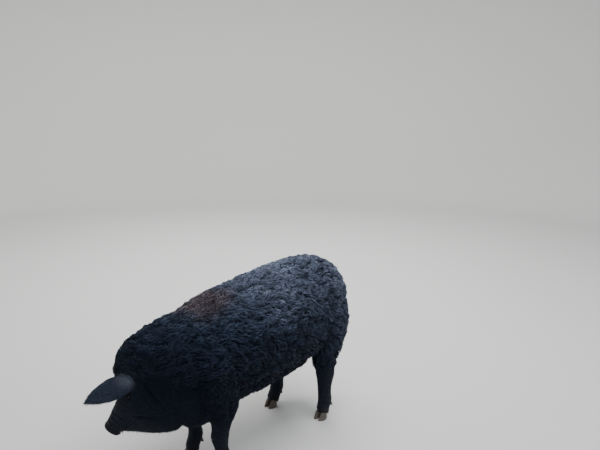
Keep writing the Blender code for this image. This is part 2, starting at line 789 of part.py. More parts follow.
def add_mouth(head):
    """The line of the mouth, as a narrow slit round the muzzle with its corners turned up."""
    skull = head_frame()
    path = [((x, y * 0.66, z), (x - 0.004, y * 1.35, z)) for x, y, z in MOUTH_LINE]
    path.append(((0.2455, 0.014, -0.0285), (0.306, 0.035, -0.026)))
    path += [((a[0], -a[1], a[2]), (b[0], -b[1], b[2])) for a, b in reversed(path)]
    bm = bmesh.new()
    rows = []
    half = MOUTH_GAP / 2
    for inner, outer in path:
        rows.append([bm.verts.new(skull @ (Vector(p) + Vector((0, 0, lift))))
                     for p, lift in ((inner, -half), (inner, half), (outer, half), (outer, -half))])
    for first, second in zip(rows, rows[1:]):
        for k in range(4):
            n = (k + 1) % 4
            bm.faces.new((first[k], first[n], second[n], second[k]))
    bm.faces.new(list(reversed(rows[0])))
    bm.faces.new(rows[-1])
    bmesh.ops.triangulate(bm, faces=bm.faces)
    combine(head, as_object("mouth", bm), "DIFFERENCE")
    largest(head)


def add_snout(nodes):
    """The disc of the snout, with its two nostrils."""
    skull = head_frame()
    bm = bmesh.new()
    rings = []
    for along, share in ((0.0, 0.97), (0.004, 1.03), (0.011, 1.06), (0.017, 1.0), (0.0195, 0.90)):
        rings.append([skull @ (Vector((HEAD_LENGTH + GAP + along, 0, 0.001))
                               + Vector((0, p.y, p.z)))
                      for p in oval(Vector(), Vector((1, 0, 0)), Vector((0, 0, 1)),
                                    SNOUT_HALF_WIDTH * share, SNOUT_HALF_HEIGHT * share,
                                    SNOUT_HALF_HEIGHT * share * 0.96, SNOUT_SIDES, 2.25)])
    loft(bm, rings)
    snout = as_object("snout", bm)
    for side in (1, -1):
        bm = bmesh.new()
        middle = Vector((HEAD_LENGTH + SNOUT_DEPTH, side * NOSTRIL_SPREAD, 0.004))
        cuts = []
        for along, share, drift in ((-0.014, 0.55, 0.003), (-0.006, 0.85, 0.001), (0.004, 1.1, 0.0)):
            cuts.append([skull @ (middle + Vector((along, p.y - side * drift, p.z)))
                         for p in oval(Vector(), Vector((1, 0, 0)), Vector((0, 0, 1)),
                                       NOSTRIL_RADIUS * share, NOSTRIL_RADIUS * share * 1.15,
                                       NOSTRIL_RADIUS * share * 1.15, 12)])
        loft(bm, cuts)
        combine(snout, as_object("nostril", bm), "DIFFERENCE")
    nodes["snout"] = largest(snout)


def ear_sheet(side, way, droop):
    """One cupped ear, its root sunk in the head, its opening turned forward and down."""
    skull = head_frame()
    root = Vector((EAR_ROOT[0], side * EAR_ROOT[1], EAR_ROOT[2]))
    way = Vector((way[0], side * way[1], way[2])).normalized()
    back = Vector((EAR_BACK[0], side * EAR_BACK[1], EAR_BACK[2]))
    back = (back - way * back.dot(way)).normalized()
    across = way.cross(back).normalized()
    lengths, widths = 9, 8
    shape = [(0.00, 0.66, 2.10), (0.12, 0.80, 1.75), (0.28, 0.97, 1.30), (0.45, 1.00, 0.98),
             (0.62, 0.87, 0.78), (0.78, 0.63, 0.60), (0.90, 0.37, 0.42), (1.00, 0.08, 0.25)]
    bm = bmesh.new()
    outer, inner = [], []
    for i in range(lengths + 1):
        s = i / lengths
        wide = np.interp(s, [r[0] for r in shape], [r[1] for r in shape]) * EAR_WIDTH / 2
        curl = np.interp(s, [r[0] for r in shape], [r[2] for r in shape])
        radius = wide / curl
        along = -0.030 + s * (EAR_LENGTH + 0.030)
        middle = root + way * along - back * (droop * s * s - 0.35 * droop * s)
        rows = ([], [])
        for j in range(widths + 1):
            t = 2 * j / widths - 1
            turn = t * curl
            normal = across * math.sin(turn) + back * math.cos(turn)
            spot = middle + across * math.sin(turn) * radius - back * radius * (1 - math.cos(turn))
            half = EAR_THICKNESS / 2 * (1 - 0.55 * abs(t) ** 3) * (1 - 0.55 * s)
            rows[0].append(bm.verts.new(skull @ (spot + normal * half)))
            rows[1].append(bm.verts.new(skull @ (spot - normal * half)))
        outer.append(rows[0])
        inner.append(rows[1])
    for i in range(lengths):
        for j in range(widths):
            for sheet, flip in ((outer, False), (inner, True)):
                a, b, c, d = sheet[i][j], sheet[i][j + 1], sheet[i + 1][j + 1], sheet[i + 1][j]
                for face in ((a, b, c), (a, c, d)):
                    bm.faces.new(tuple(reversed(face)) if flip else face)
    rim = ([(outer[i][0], inner[i][0]) for i in range(lengths + 1)]
           + [(outer[-1][j], inner[-1][j]) for j in range(1, widths + 1)]
           + [(outer[i][-1], inner[i][-1]) for i in range(lengths - 1, -1, -1)]
           + [(outer[0][j], inner[0][j]) for j in range(widths - 1, 0, -1)])
    for k in range(len(rim)):
        (a, b), (c, d) = rim[k], rim[(k + 1) % len(rim)]
        bm.faces.new((a, b, c))
        bm.faces.new((c, b, d))
    return as_object("ear_left" if side > 0 else "ear_right", bm)


def add_ears(nodes):
    """Both ears, each ending where it meets the head."""
    shell = grown(nodes["head"], GAP)
    collar = grown(nodes["neck"], GAP)
    for side, way in ((1, EAR_WAY), (-1, FAR_EAR_WAY)):
        ear = ear_sheet(side, way, 0.020)
        combine(ear, shell, "DIFFERENCE", drop=False)
        combine(ear, collar, "DIFFERENCE", drop=False)
        nodes[ear.name] = largest(ear)
    bpy.data.objects.remove(shell)
    bpy.data.objects.remove(collar)


def claw(name, foot_x, foot_y, side, out):
    """One main claw, its sole flat on the floor. Out is 1 for the outer claw and -1 for the inner."""
    bm = bmesh.new()
    rings = []
    for height, share in ((0.0, 0.93), (0.003, 1.0), (0.026, 0.92),
                               (CLAW_HEIGHT, 0.66)):
        ring = []
        for k in range(12):
            turn = 2 * math.pi * k / 12
            c, s = math.cos(turn), math.sin(turn)
            reach = c * (0.5 * CLAW_LENGTH)
            front = max(0.0, c)
            y = s * CLAW_WIDTH / 2 * (1 - 0.42 * front * front)
            y -= out * CLAW_WIDTH * 0.17 * front * front
            x = reach * share + 0.015
            heel = -0.5 * CLAW_LENGTH + 0.015
            x = heel + (x - heel) * (1 - 0.62 * height / CLAW_LENGTH)
            ring.append(Vector((foot_x + x, foot_y + side * out * (CLAW_WIDTH / 2 + 0.0030)
                                + side * y * share, height)))
        rings.append(ring)
    loft(bm, rings)
    return as_object(name, bm)


def dewclaw(name, foot_x, foot_y, side, out):
    """One of the two small claws behind a foot."""
    root = Vector((foot_x - 0.036, foot_y + side * out * 0.019, 0.088))
    tip = root + Vector((-0.016, side * out * 0.006, -DEWCLAW_LENGTH))
    bm = bmesh.new()
    rings = []
    for share, size in ((0.0, 0.80), (0.45, 1.0), (1.0, 0.40)):
        rings.append(oval(root.lerp(tip, share), tip - root, Vector((1, 0, 0)),
                          DEWCLAW_RADIUS * size, DEWCLAW_RADIUS * size * 0.9,
                          DEWCLAW_RADIUS * size * 0.9, 8))
    loft(bm, rings)
    return as_object(name, bm)


def add_claws(nodes):
    """Two main claws and two dewclaws on every foot, each in its own bed in the flesh."""
    for name, (foot_x, side, _, share) in FEET.items():
        leg = nodes[name]
        foot_y = side * share * (0.120 if name.startswith("fore") else 0.125)
        label = name.replace("leg", "")
        for out, word in ((1, "outer"), (-1, "inner")):
            for make, kind in ((claw, "claw"), (dewclaw, "dewclaw")):
                horn = make(f"{label}_{kind}_{word}", foot_x, foot_y, side, out)
                combine(leg, grown(horn, GAP), "DIFFERENCE")
                nodes[horn.name] = horn
        largest(leg)


def lock(name, root, way, face, length, width, bend):
    """One flat, tapered lock of hair that bends along its length."""
    way = way.normalized()
    side = way.cross(face).normalized()
    flat = side.cross(way)
    bm = bmesh.new()
    rows = []
    for share, wide in ((0.0, 0.80), (0.35, 1.0), (0.72, 0.66)):
        centre = root + way * length * share + flat * bend * share * share
        half, thick = width / 2 * wide, 0.0042 * wide
        rows.append([bm.verts.new(centre + side * half), bm.verts.new(centre + flat * thick),
                     bm.verts.new(centre - side * half), bm.verts.new(centre - flat * thick)])
    for first, second in zip(rows, rows[1:]):
        for k in range(4):
            n = (k + 1) % 4
            bm.faces.new((first[k], first[n], second[n], second[k]))
    tip = bm.verts.new(root + way * length + flat * bend)
    for k in range(4):
        bm.faces.new((tip, rows[-1][k], rows[-1][(k + 1) % 4]))
    bm.faces.new(rows[0])
    bmesh.ops.triangulate(bm, faces=bm.faces)
    return as_object(name, bm)


def add_tail(nodes):
    """The tail, which hangs from the croup and ends in a switch of bending locks."""
    rows = spline(TAIL_PATH, 2)
    bm = bmesh.new()
    rings = []
    for k, row in enumerate(rows):
        way = Vector(rows[min(k + 1, len(rows) - 1)][:3] - rows[max(k - 1, 0)][:3])
        size = TAIL_RADIUS * row[3]
        rings.append(oval(Vector(row[:3]), way, Vector((0, 1, 0)), size, size, size, 10))
    loft(bm, rings)
    tail = as_object("tail", bm)
    draw = np.random.default_rng(CLUMP_SEED)
    locks = []
    for k in range(SWITCH_LOCKS):
        turn = 2 * math.pi * k / SWITCH_LOCKS * 2.4
        out = Vector((math.cos(turn), math.sin(turn), 0))
        height = 0.505 - 0.060 * k / SWITCH_LOCKS
        size = SWITCH_LENGTHS["long" if k % 2 else "short"] * float(draw.uniform(0.92, 1.08))
        locks.append(lock(f"lock_{k}", Vector((-0.649, 0.0195, height)) + out * 0.002,
                          Vector((0, 0, -1)) + out * 0.16, out, size, 0.017,
                          -0.016 * float(draw.uniform(0.6, 1.2))))
    thinned(largest(joined(tail, locks)), SWITCH_TRIANGLES)
    combine(tail, grown(nodes["torso"], GAP), "DIFFERENCE")
    nodes["tail"] = largest(tail)


COLOURS = {
    "torso": (0.030, 0.033, 0.040), "neck": (0.028, 0.030, 0.037), "head": (0.030, 0.030, 0.034),
    "snout": (0.070, 0.055, 0.052), "ear": (0.075, 0.080, 0.095), "eye": (0.012, 0.009, 0.008),
    "tail": (0.040, 0.042, 0.050), "foreleg": (0.030, 0.031, 0.036),
    "hindleg": (0.033, 0.034, 0.040), "claw": (0.110, 0.100, 0.090),
}


def paint(node):
    """Gives a node its own material."""
    key = next(k for k in ("claw", *COLOURS) if k in node.name)
    colour = COLOURS[key]
    rough = {"eye": 0.08, "snout": 0.45, "claw": 0.50}.get(key, 0.75)
    material = bpy.data.materials.new(node.name)
    material.use_nodes = True
    shader = material.node_tree.nodes["Principled BSDF"]
    shader.inputs["Base Color"].default_value = (*colour, 1)
    shader.inputs["Roughness"].default_value = rough
    shader.inputs["Metallic"].default_value = 0.0
    node.data.materials.clear()
    node.data.materials.append(material)
    node.data.shade_smooth()
    node.data.set_sharp_from_angle(angle=math.radians(42))


def settle(nodes):
    """Moves every node so that the middle of the footprint is the origin."""
    points = np.concatenate([np.array([v.co for v in n.data.vertices]) for n in nodes.values()])
    middle = (points.min(0) + points.max(0)) / 2
    shift = Matrix.Translation(Vector((-middle[0], -middle[1], 0)))
    for node in nodes.values():
        node.data.transform(shift)


def main():
    """Builds the pig."""
    clear_scene()
    fringe = body_form(0.010, 14, 25, COAT_DEPTH, FACE_COAT)
    core = body_form(0.010, 14, 25, CORE_DEPTH, FACE_COAT)
    body = add_clumps(thinned(duplicate(core, "body"), 3600), core, fringe)
    fine = body_form(0.005, 10, 45, COAT_DEPTH, FACE_COAT)
    combine(fine, head_zone(-0.03), "INTERSECT")
    largest(fine)
    shape_face(fine)
    thinned(fine, 2200)
    nodes = build_body(body, fine)
    for form in (body, core, fringe, fine):
        bpy.data.objects.remove(form)
    add_mouth(nodes["head"])
    add_eyes(nodes)
    add_snout(nodes)
    add_ears(nodes)
    add_claws(nodes)
    add_tail(nodes)
    settle(nodes)
    for node in nodes.values():
        paint(node)


if __name__ == "__main__":
    main()
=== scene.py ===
"""A life-size black pig with a curly coat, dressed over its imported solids.

Metres, +Z up, floor at Z 0, +X forward along the trunk and +Y to the animal's left. The shapes are built in
the frame that their sizes are given in, and each finished piece is then moved over the solids. The body is
one skin, covered with thousands of small solid tufts. Eyes, lashes, claws, bristles and the switch of the
tail are pieces of their own.
"""

import logging
import math
from dataclasses import dataclass, field
from enum import Enum

import bmesh
import bpy
import numpy as np
from mathutils import Matrix, Vector


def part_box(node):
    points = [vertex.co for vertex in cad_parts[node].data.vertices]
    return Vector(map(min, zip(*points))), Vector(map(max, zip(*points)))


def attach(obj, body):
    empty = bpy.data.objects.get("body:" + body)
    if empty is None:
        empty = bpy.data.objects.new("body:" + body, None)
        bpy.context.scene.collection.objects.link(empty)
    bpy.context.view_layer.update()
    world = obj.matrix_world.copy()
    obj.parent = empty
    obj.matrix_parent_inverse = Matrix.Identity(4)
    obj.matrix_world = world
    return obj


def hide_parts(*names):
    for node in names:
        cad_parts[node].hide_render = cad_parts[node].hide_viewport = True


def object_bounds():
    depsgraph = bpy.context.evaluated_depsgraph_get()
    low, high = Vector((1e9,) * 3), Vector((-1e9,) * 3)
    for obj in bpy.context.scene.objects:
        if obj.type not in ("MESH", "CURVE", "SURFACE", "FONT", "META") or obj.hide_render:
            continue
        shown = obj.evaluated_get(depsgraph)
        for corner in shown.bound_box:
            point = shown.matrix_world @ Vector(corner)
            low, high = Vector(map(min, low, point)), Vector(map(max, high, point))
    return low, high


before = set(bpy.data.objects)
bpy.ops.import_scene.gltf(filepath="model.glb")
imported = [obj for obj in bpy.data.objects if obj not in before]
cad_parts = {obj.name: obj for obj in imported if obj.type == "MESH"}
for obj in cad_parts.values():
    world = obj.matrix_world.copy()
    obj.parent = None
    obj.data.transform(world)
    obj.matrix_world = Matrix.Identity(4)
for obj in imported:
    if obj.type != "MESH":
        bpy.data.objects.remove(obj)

CAD_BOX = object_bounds()
LOG = logging.getLogger("pig")
SEED = 20
UNWRAP = "OFBake"
AHEAD = Vector((1, 0, 0))
UP = Vector((0, 0, 1))
# Back and outer edge of the left forefoot's outer claw, in the frame of the sizes
CLAW_CORNER = (0.307, 0.147)

Ring = list[Vector]
Row = tuple[float, ...]
Colour = tuple[float, float, float]


def settle_shift() -> Vector:
    """How far the solids were moved to centre their footprint.

    Returns:
        The shift, read off the outer claw of the left forefoot.
    """
    low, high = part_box("fore_left_claw_outer")
    return Vector((low[0] - CLAW_CORNER[0], high[1] - CLAW_CORNER[1], 0.0))


SHIFT = settle_shift()
# Corners of the solids' box in the frame of the sizes, and how far inside it the hair stays
LOW, HIGH = (np.array(corner) - np.array(SHIFT) for corner in CAD_BOX)
BOX_GAP = 0.0012


# Shapes


def spline(stations: list[Row], steps: int) -> list[np.ndarray]:
    """Rows of numbers read off a smooth curve through the station rows.

    Args:
        stations: The rows that the curve passes through.
        steps: How many rows are read in each span.

    Returns:
        The rows, ends included.
    """
    rows = [np.array(s, float) for s in stations]
    rows = [2 * rows[0] - rows[1], *rows, 2 * rows[-1] - rows[-2]]
    read = []
    for a, b, c, d in zip(rows, rows[1:], rows[2:], rows[3:]):
        for k in range(steps):
            t = k / steps
            read.append(0.5 * (2 * b + (c - a) * t + (2 * a - 5 * b + 4 * c - d) * t * t
                               + (3 * b - a - 3 * c + d) * t ** 3))
    read.append(rows[-2])
    return read


def way_at(rows: list[Row], k: int) -> Vector:
    """The way that a line runs at row k, of rows that begin with X, Y and Z."""
    return Vector(np.subtract(rows[min(k + 1, len(rows) - 1)][:3], rows[max(k - 1, 0)][:3]))


def circle(count: int) -> list[Row]:
    """The angle, cosine and sine of each of count even steps round a circle."""
    turns = [2 * math.pi * k / count for k in range(count)]
    return [(turn, math.cos(turn), math.sin(turn)) for turn in turns]


def held(value: float) -> float:
    """The value, held between 0 and 1."""
    return min(1.0, max(0.0, value))


def oval(centre: Vector, forward: Vector, up: Vector, width: float, rise: float, drop: float,
         sides: int, power: float = 2.0) -> Ring:
    """One ring of a loft, square to forward.

    Args:
        centre: Its middle.
        forward: The way the loft runs there.
        up: The way of its top.
        width: Reach to each side.
        rise: Reach over the centre.
        drop: Reach under the centre.
        sides: Number of points.
        power: 2 is an ellipse, and more is squarer.

    Returns:
        The ring's points.
    """
    forward = forward.normalized()
    left = up.cross(forward).normalized()
    top = forward.cross(left)
    points = []
    for _, c, s in circle(sides):
        out = math.copysign(abs(c) ** (2 / power), c) * width
        lift = math.copysign(abs(s) ** (2 / power), s) * (rise if s > 0 else drop)
        points.append(centre + left * out + top * lift)
    return points


def bridge(bm: bmesh.types.BMesh, first: list[bmesh.types.BMVert],
           second: list[bmesh.types.BMVert]) -> None:
    """Joins two loops of equally many points with a band of faces.

    Args:
        bm: The mesh that holds them.
        first: One loop.
        second: The other.
    """
    for k in range(len(first)):
        n = (k + 1) % len(first)
        bm.faces.new((first[k], first[n], second[n], second[k]))


def fan(bm: bmesh.types.BMesh, hub: bmesh.types.BMVert, row: list[bmesh.types.BMVert], order: int) -> None:
    """Closes a loop of points with faces that meet at one more point.

    Args:
        bm: The mesh that holds them.
        hub: The point that they meet at.
        row: The loop.
        order: Which way round the faces run, 1 or -1.
    """
    for k in range(len(row)):
        n = (k + 1) % len(row)
        bm.faces.new((hub, row[k], row[n]) if order > 0 else (hub, row[n], row[k]))


def loft(bm: bmesh.types.BMesh, rings: list[Ring]) -> None:
    """Adds a closed tube through rings of equally many points.

    Args:
        bm: The mesh that receives it.
        rings: The rings, whose ends are drawn to their middles.
    """
    rows = [[bm.verts.new(p) for p in ring] for ring in rings]
    count = len(rows[0])
    for first, second in zip(rows, rows[1:]):
        bridge(bm, first, second)
    for row, order in ((rows[0], -1), (rows[-1], 1)):
        fan(bm, bm.verts.new(sum((v.co for v in row), Vector()) / count), row, order)


def placed(name: str, data: bpy.types.ID) -> bpy.types.Object:
    """A new object of the scene, round a mesh, a lamp or a lens.

    Args:
        name: The object's name.
        data: What it holds.

    Returns:
        The object.
    """
    thing = bpy.data.objects.new(name, data)
    bpy.context.scene.collection.objects.link(thing)
    return thing


def as_object(name: str, bm: bmesh.types.BMesh) -> bpy.types.Object:
    """Turns a bmesh into a new object of the scene.

    Args:
        name: The object's name.
        bm: The mesh, which is freed.

    Returns:
        The object.
    """
    mesh = bpy.data.meshes.new(name)
    bmesh.ops.recalc_face_normals(bm, faces=bm.faces)
    bm.to_mesh(mesh)
    bm.free()
    return placed(name, mesh)


def lofted(name: str, rings: list[Ring]) -> bpy.types.Object:
    """A loft as an object of its own.

    Args:
        name: The object's name.
        rings: The loft's rings.

    Returns:
        The object.
    """
    bm = bmesh.new()
    loft(bm, rings)
    return as_object(name, bm)


def applied(thing: bpy.types.Object) -> bpy.types.Object:
    """Turns an object's modifiers into its mesh.

    Args:
        thing: The object.

    Returns:
        The same object.
    """
    graph = bpy.context.evaluated_depsgraph_get()
    mesh = bpy.data.meshes.new_from_object(thing.evaluated_get(graph))
    thing.modifiers.clear()
    old = thing.data
    thing.data = mesh
    bpy.data.meshes.remove(old)
    return thing


def combine(thing: bpy.types.Object, other: bpy.types.Object, operation: str) -> None:
    """Applies one Boolean and removes the object that cuts or adds.

    Args:
        thing: The object that is changed.
        other: The object that is added or taken away.
        operation: UNION or DIFFERENCE.
    """
    cut = thing.modifiers.new("Cut", "BOOLEAN")
    cut.operation = operation
    cut.solver = "MANIFOLD"
    cut.object = other
    applied(thing)
    bpy.data.objects.remove(other)


def ridge(distance: np.ndarray, width: float) -> np.ndarray:
    """One at no distance, falling smoothly to nothing within about twice the width."""
    return np.exp(-(distance / width) ** 2)


def window(values: np.ndarray, low: float, high: float, soft: float) -> np.ndarray:
    """One between two values, falling to nothing over a soft width outside them."""
    return np.clip((values - low) / soft + 1, 0, 1) * np.clip((high - values) / soft + 1, 0, 1)


def step(values: np.ndarray, low: float, high: float) -> np.ndarray:
    """Nothing up to low, one from high on, and smooth between."""
    t = np.clip((values - low) / (high - low), 0, 1)
    return t * t * (3 - 2 * t)


def read_points(mesh: bpy.types.Mesh, name: str = "co") -> np.ndarray:
    """A mesh's points, or another vector of its vertices.

    Args:
        mesh: The mesh.
        name: The vector, such as normal.

    Returns:
        Rows of three.
    """
    values = np.empty(len(mesh.vertices) * 3)
    mesh.vertices.foreach_get(name, values)
    return values.reshape(-1, 3)


def mark(thing: bpy.types.Object, name: str, values: np.ndarray) -> None:
    """Gives each point of a mesh a number under a name."""
    thing.data.attributes.new(name, "FLOAT", "POINT").data.foreach_set("value", values)


def write_points(mesh: bpy.types.Mesh, points: np.ndarray) -> None:
    """Moves a mesh's points to the given rows of three."""
    mesh.vertices.foreach_set("co", points.ravel())
    mesh.update()


def distances(points: np.ndarray, spot: Vector) -> np.ndarray:
    """How far each point is from one spot."""
    return np.linalg.norm(points - np.array(spot), axis=1)


def units(ways: np.ndarray) -> np.ndarray:
    """The ways, each made one long."""
    return ways / np.maximum(np.linalg.norm(ways, axis=1, keepdims=True), 1e-6)


def square_to(outs: np.ndarray, ways: np.ndarray) -> np.ndarray:
    """What is left of the ways without their share along outs."""
    return ways - outs * (ways * outs).sum(axis=1, keepdims=True)


def swung(ways: np.ndarray, sides: np.ndarray, angles: np.ndarray) -> np.ndarray:
    """The ways, each turned towards its side by an angle."""
    return ways * np.cos(angles)[:, None] + sides * np.sin(angles)[:, None]


def evened(mesh: bpy.types.Mesh, rounds: int, share: np.ndarray | float = 1.0,
           keep: float = 0.53) -> None:
    """Evens a mesh out by moving each point to and fro between its neighbours.

    Args:
        mesh: The mesh.
        rounds: How many times.
        share: How much each point takes part.
        keep: The way back, over 0.5 so that the volume stays.
    """
    points = read_points(mesh)
    ends = np.empty(len(mesh.edges) * 2, np.int32)
    mesh.edges.foreach_get("vertices", ends)
    ends = ends.reshape(-1, 2)
    degree = np.bincount(ends.ravel(), minlength=len(points))[:, None]
    for _ in range(rounds):
        for pull in (0.5, -keep):
            total = np.zeros_like(points)
            for axis in range(3):
                total[:, axis] = (np.bincount(ends[:, 0], points[ends[:, 1], axis], len(points))
                                  + np.bincount(ends[:, 1], points[ends[:, 0], axis], len(points)))
            points = points + pull * share * (total / degree - points)
    write_points(mesh, points)


# Finishes


class Socket:
    """A value in a node tree, on which Python's arithmetic adds Math nodes."""

    def __init__(self, wiring: "Wiring", plug: bpy.types.NodeSocket) -> None:
        """Keeps the output socket and the tree's wiring."""
        self.wiring = wiring
        self.plug = plug

    def maths(self, operation: str, first: "Socket | float", second: "Socket | float") -> "Socket":
        """Adds one Math node.

        Args:
            operation: The node's operation.
            first: Its upper value.
            second: Its lower value.

        Returns:
            The node's value.
        """
        return self.wiring.add("ShaderNodeMath", {"operation": operation}, {0: first, 1: second})

    def __add__(self, other: "Socket | float") -> "Socket":
        """This plus other."""
        return self.maths("ADD", self, other)

    def __radd__(self, other: float) -> "Socket":
        """Other plus this."""
        return self.maths("ADD", other, self)

    def __sub__(self, other: "Socket | float") -> "Socket":
        """This less other."""
        return self.maths("SUBTRACT", self, other)

    def __rsub__(self, other: float) -> "Socket":
        """Other less this."""
        return self.maths("SUBTRACT", other, self)

    def __mul__(self, other: "Socket | float") -> "Socket":
        """This times other."""
        return self.maths("MULTIPLY", self, other)

    def __rmul__(self, other: float) -> "Socket":
        """Other times this."""
        return self.maths("MULTIPLY", other, self)

    def rises(self, low: float, high: float) -> "Socket":
        """Nothing at low, one at high, and smooth between, also where high is the smaller.

        Args:
            low: The value that gives nothing.
            high: The value that gives one.

        Returns:
            The mask.
        """
        return self.wiring.add("ShaderNodeMapRange", {"interpolation_type": "SMOOTHSTEP"},
                               {"Value": self, "From Min": low, "From Max": high})


class Wiring:
    """Adds nodes to one material's tree."""

    def __init__(self, name: str) -> None:
        """Makes the material, with its shader.

        Args:
            name: The material's name.
        """
        self.material = bpy.data.materials.new(name)
        self.material.use_nodes = True
        self.tree = self.material.node_tree
        self.shader = self.tree.nodes["Principled BSDF"]

    def add(self, kind: str, settings: dict[str, object] | None = None,
            sockets: dict[str | int, object] | None = None, out: str | int = 0) -> Socket:
        """Adds one node.

        Args:
            kind: The node's type.
            settings: Its settings, which are set first.
            sockets: The value or link of each input.
            out: The output that is returned.

        Returns:
            The output, as a Socket.
        """
        node = self.tree.nodes.new(kind)
        for name, value in (settings or {}).items():
            setattr(node, name, value)
        for key, value in (sockets or {}).items():
            self.feed(node.inputs[key], value)
        return Socket(self, node.outputs[out])

    def feed(self, plug: bpy.types.NodeSocket, value: object) -> None:
        """Links a Socket to an input, or sets the input to a value.

        Args:
            plug: The input.
            value: The Socket, number, vector, or colour of three.
        """
        if isinstance(value, Socket):
            self.tree.links.new(value.plug, plug)
        elif isinstance(value, tuple) and len(value) == 3 and plug.type == "RGBA":
            plug.default_value = (*value, 1.0)
        else:
            plug.default_value = value

    def shade(self, **inputs: object) -> None:
        """Feeds the shader's inputs, given with _ for each space of their names."""
        for name, value in inputs.items():
            self.feed(self.shader.inputs[name.replace("_", " ")], value)

    def place(self) -> Socket:
        """The point being shaded, in the object's own frame."""
        return self.add("ShaderNodeTexCoord", out="Object")

    def axis(self, place: Socket, letter: str) -> Socket:
        """One of the point's numbers, X, Y or Z."""
        return self.add("ShaderNodeSeparateXYZ", None, {0: place}, letter)

    def away(self, place: Socket, point: Vector) -> Socket:
        """The distance from a point of the frame that the sizes are given in."""
        return self.add("ShaderNodeVectorMath", {"operation": "DISTANCE"},
                        {0: place, 1: tuple(point + SHIFT)}, "Value")

    def noise(self, place: Socket, scale: float, detail: float = 3.0, stretch: Row | None = None) -> Socket:
        """Soft noise between 0 and 1.

        Args:
            place: The point being shaded.
            scale: How fine it is.
            detail: How many finer layers it has.
            stretch: How much finer it is along X, Y and Z.

        Returns:
            The noise.
        """
        if stretch:
            place = self.add("ShaderNodeVectorMath", {"operation": "MULTIPLY"}, {0: place, 1: stretch})
        return self.add("ShaderNodeTexNoise", None,
                        {"Vector": place, "Scale": scale, "Detail": detail, "Roughness": 0.55})

    def blend(self, mask: Socket | float, first: Socket | Colour, second: Socket | Colour,
              way: str = "MIX") -> Socket:
        """A mix of two colours.

        Args:
            mask: 0 for the first and 1 for the second.
            first: A colour.
            second: Another.
            way: How they mix.

        Returns:
            The colour.
        """
        settings = {"data_type": "RGBA", "blend_type": way, "clamp_factor": True}
        return self.add("ShaderNodeMix", settings, {0: mask, 6: first, 7: second}, 2)

    def attribute(self, name: str) -> Socket:
        """A number that the mesh carries under a name."""
        return self.add("ShaderNodeAttribute", {"attribute_name": name}, None, "Fac")

    def bump(self, height: Socket, depth: float, normal: Socket | None = None) -> Socket:
        """A bumped normal.

        Args:
            height: Height between 0 and 1.
            depth: How far 1 stands over 0, in metres.
            normal: A normal that is bumped already.

        Returns:
            The normal.
        """
        sockets: dict[str | int, object] = {"Height": height, "Distance": depth, "Strength": 1.0}
        if normal:
            sockets["Normal"] = normal
        return self.add("ShaderNodeBump", None, sockets)


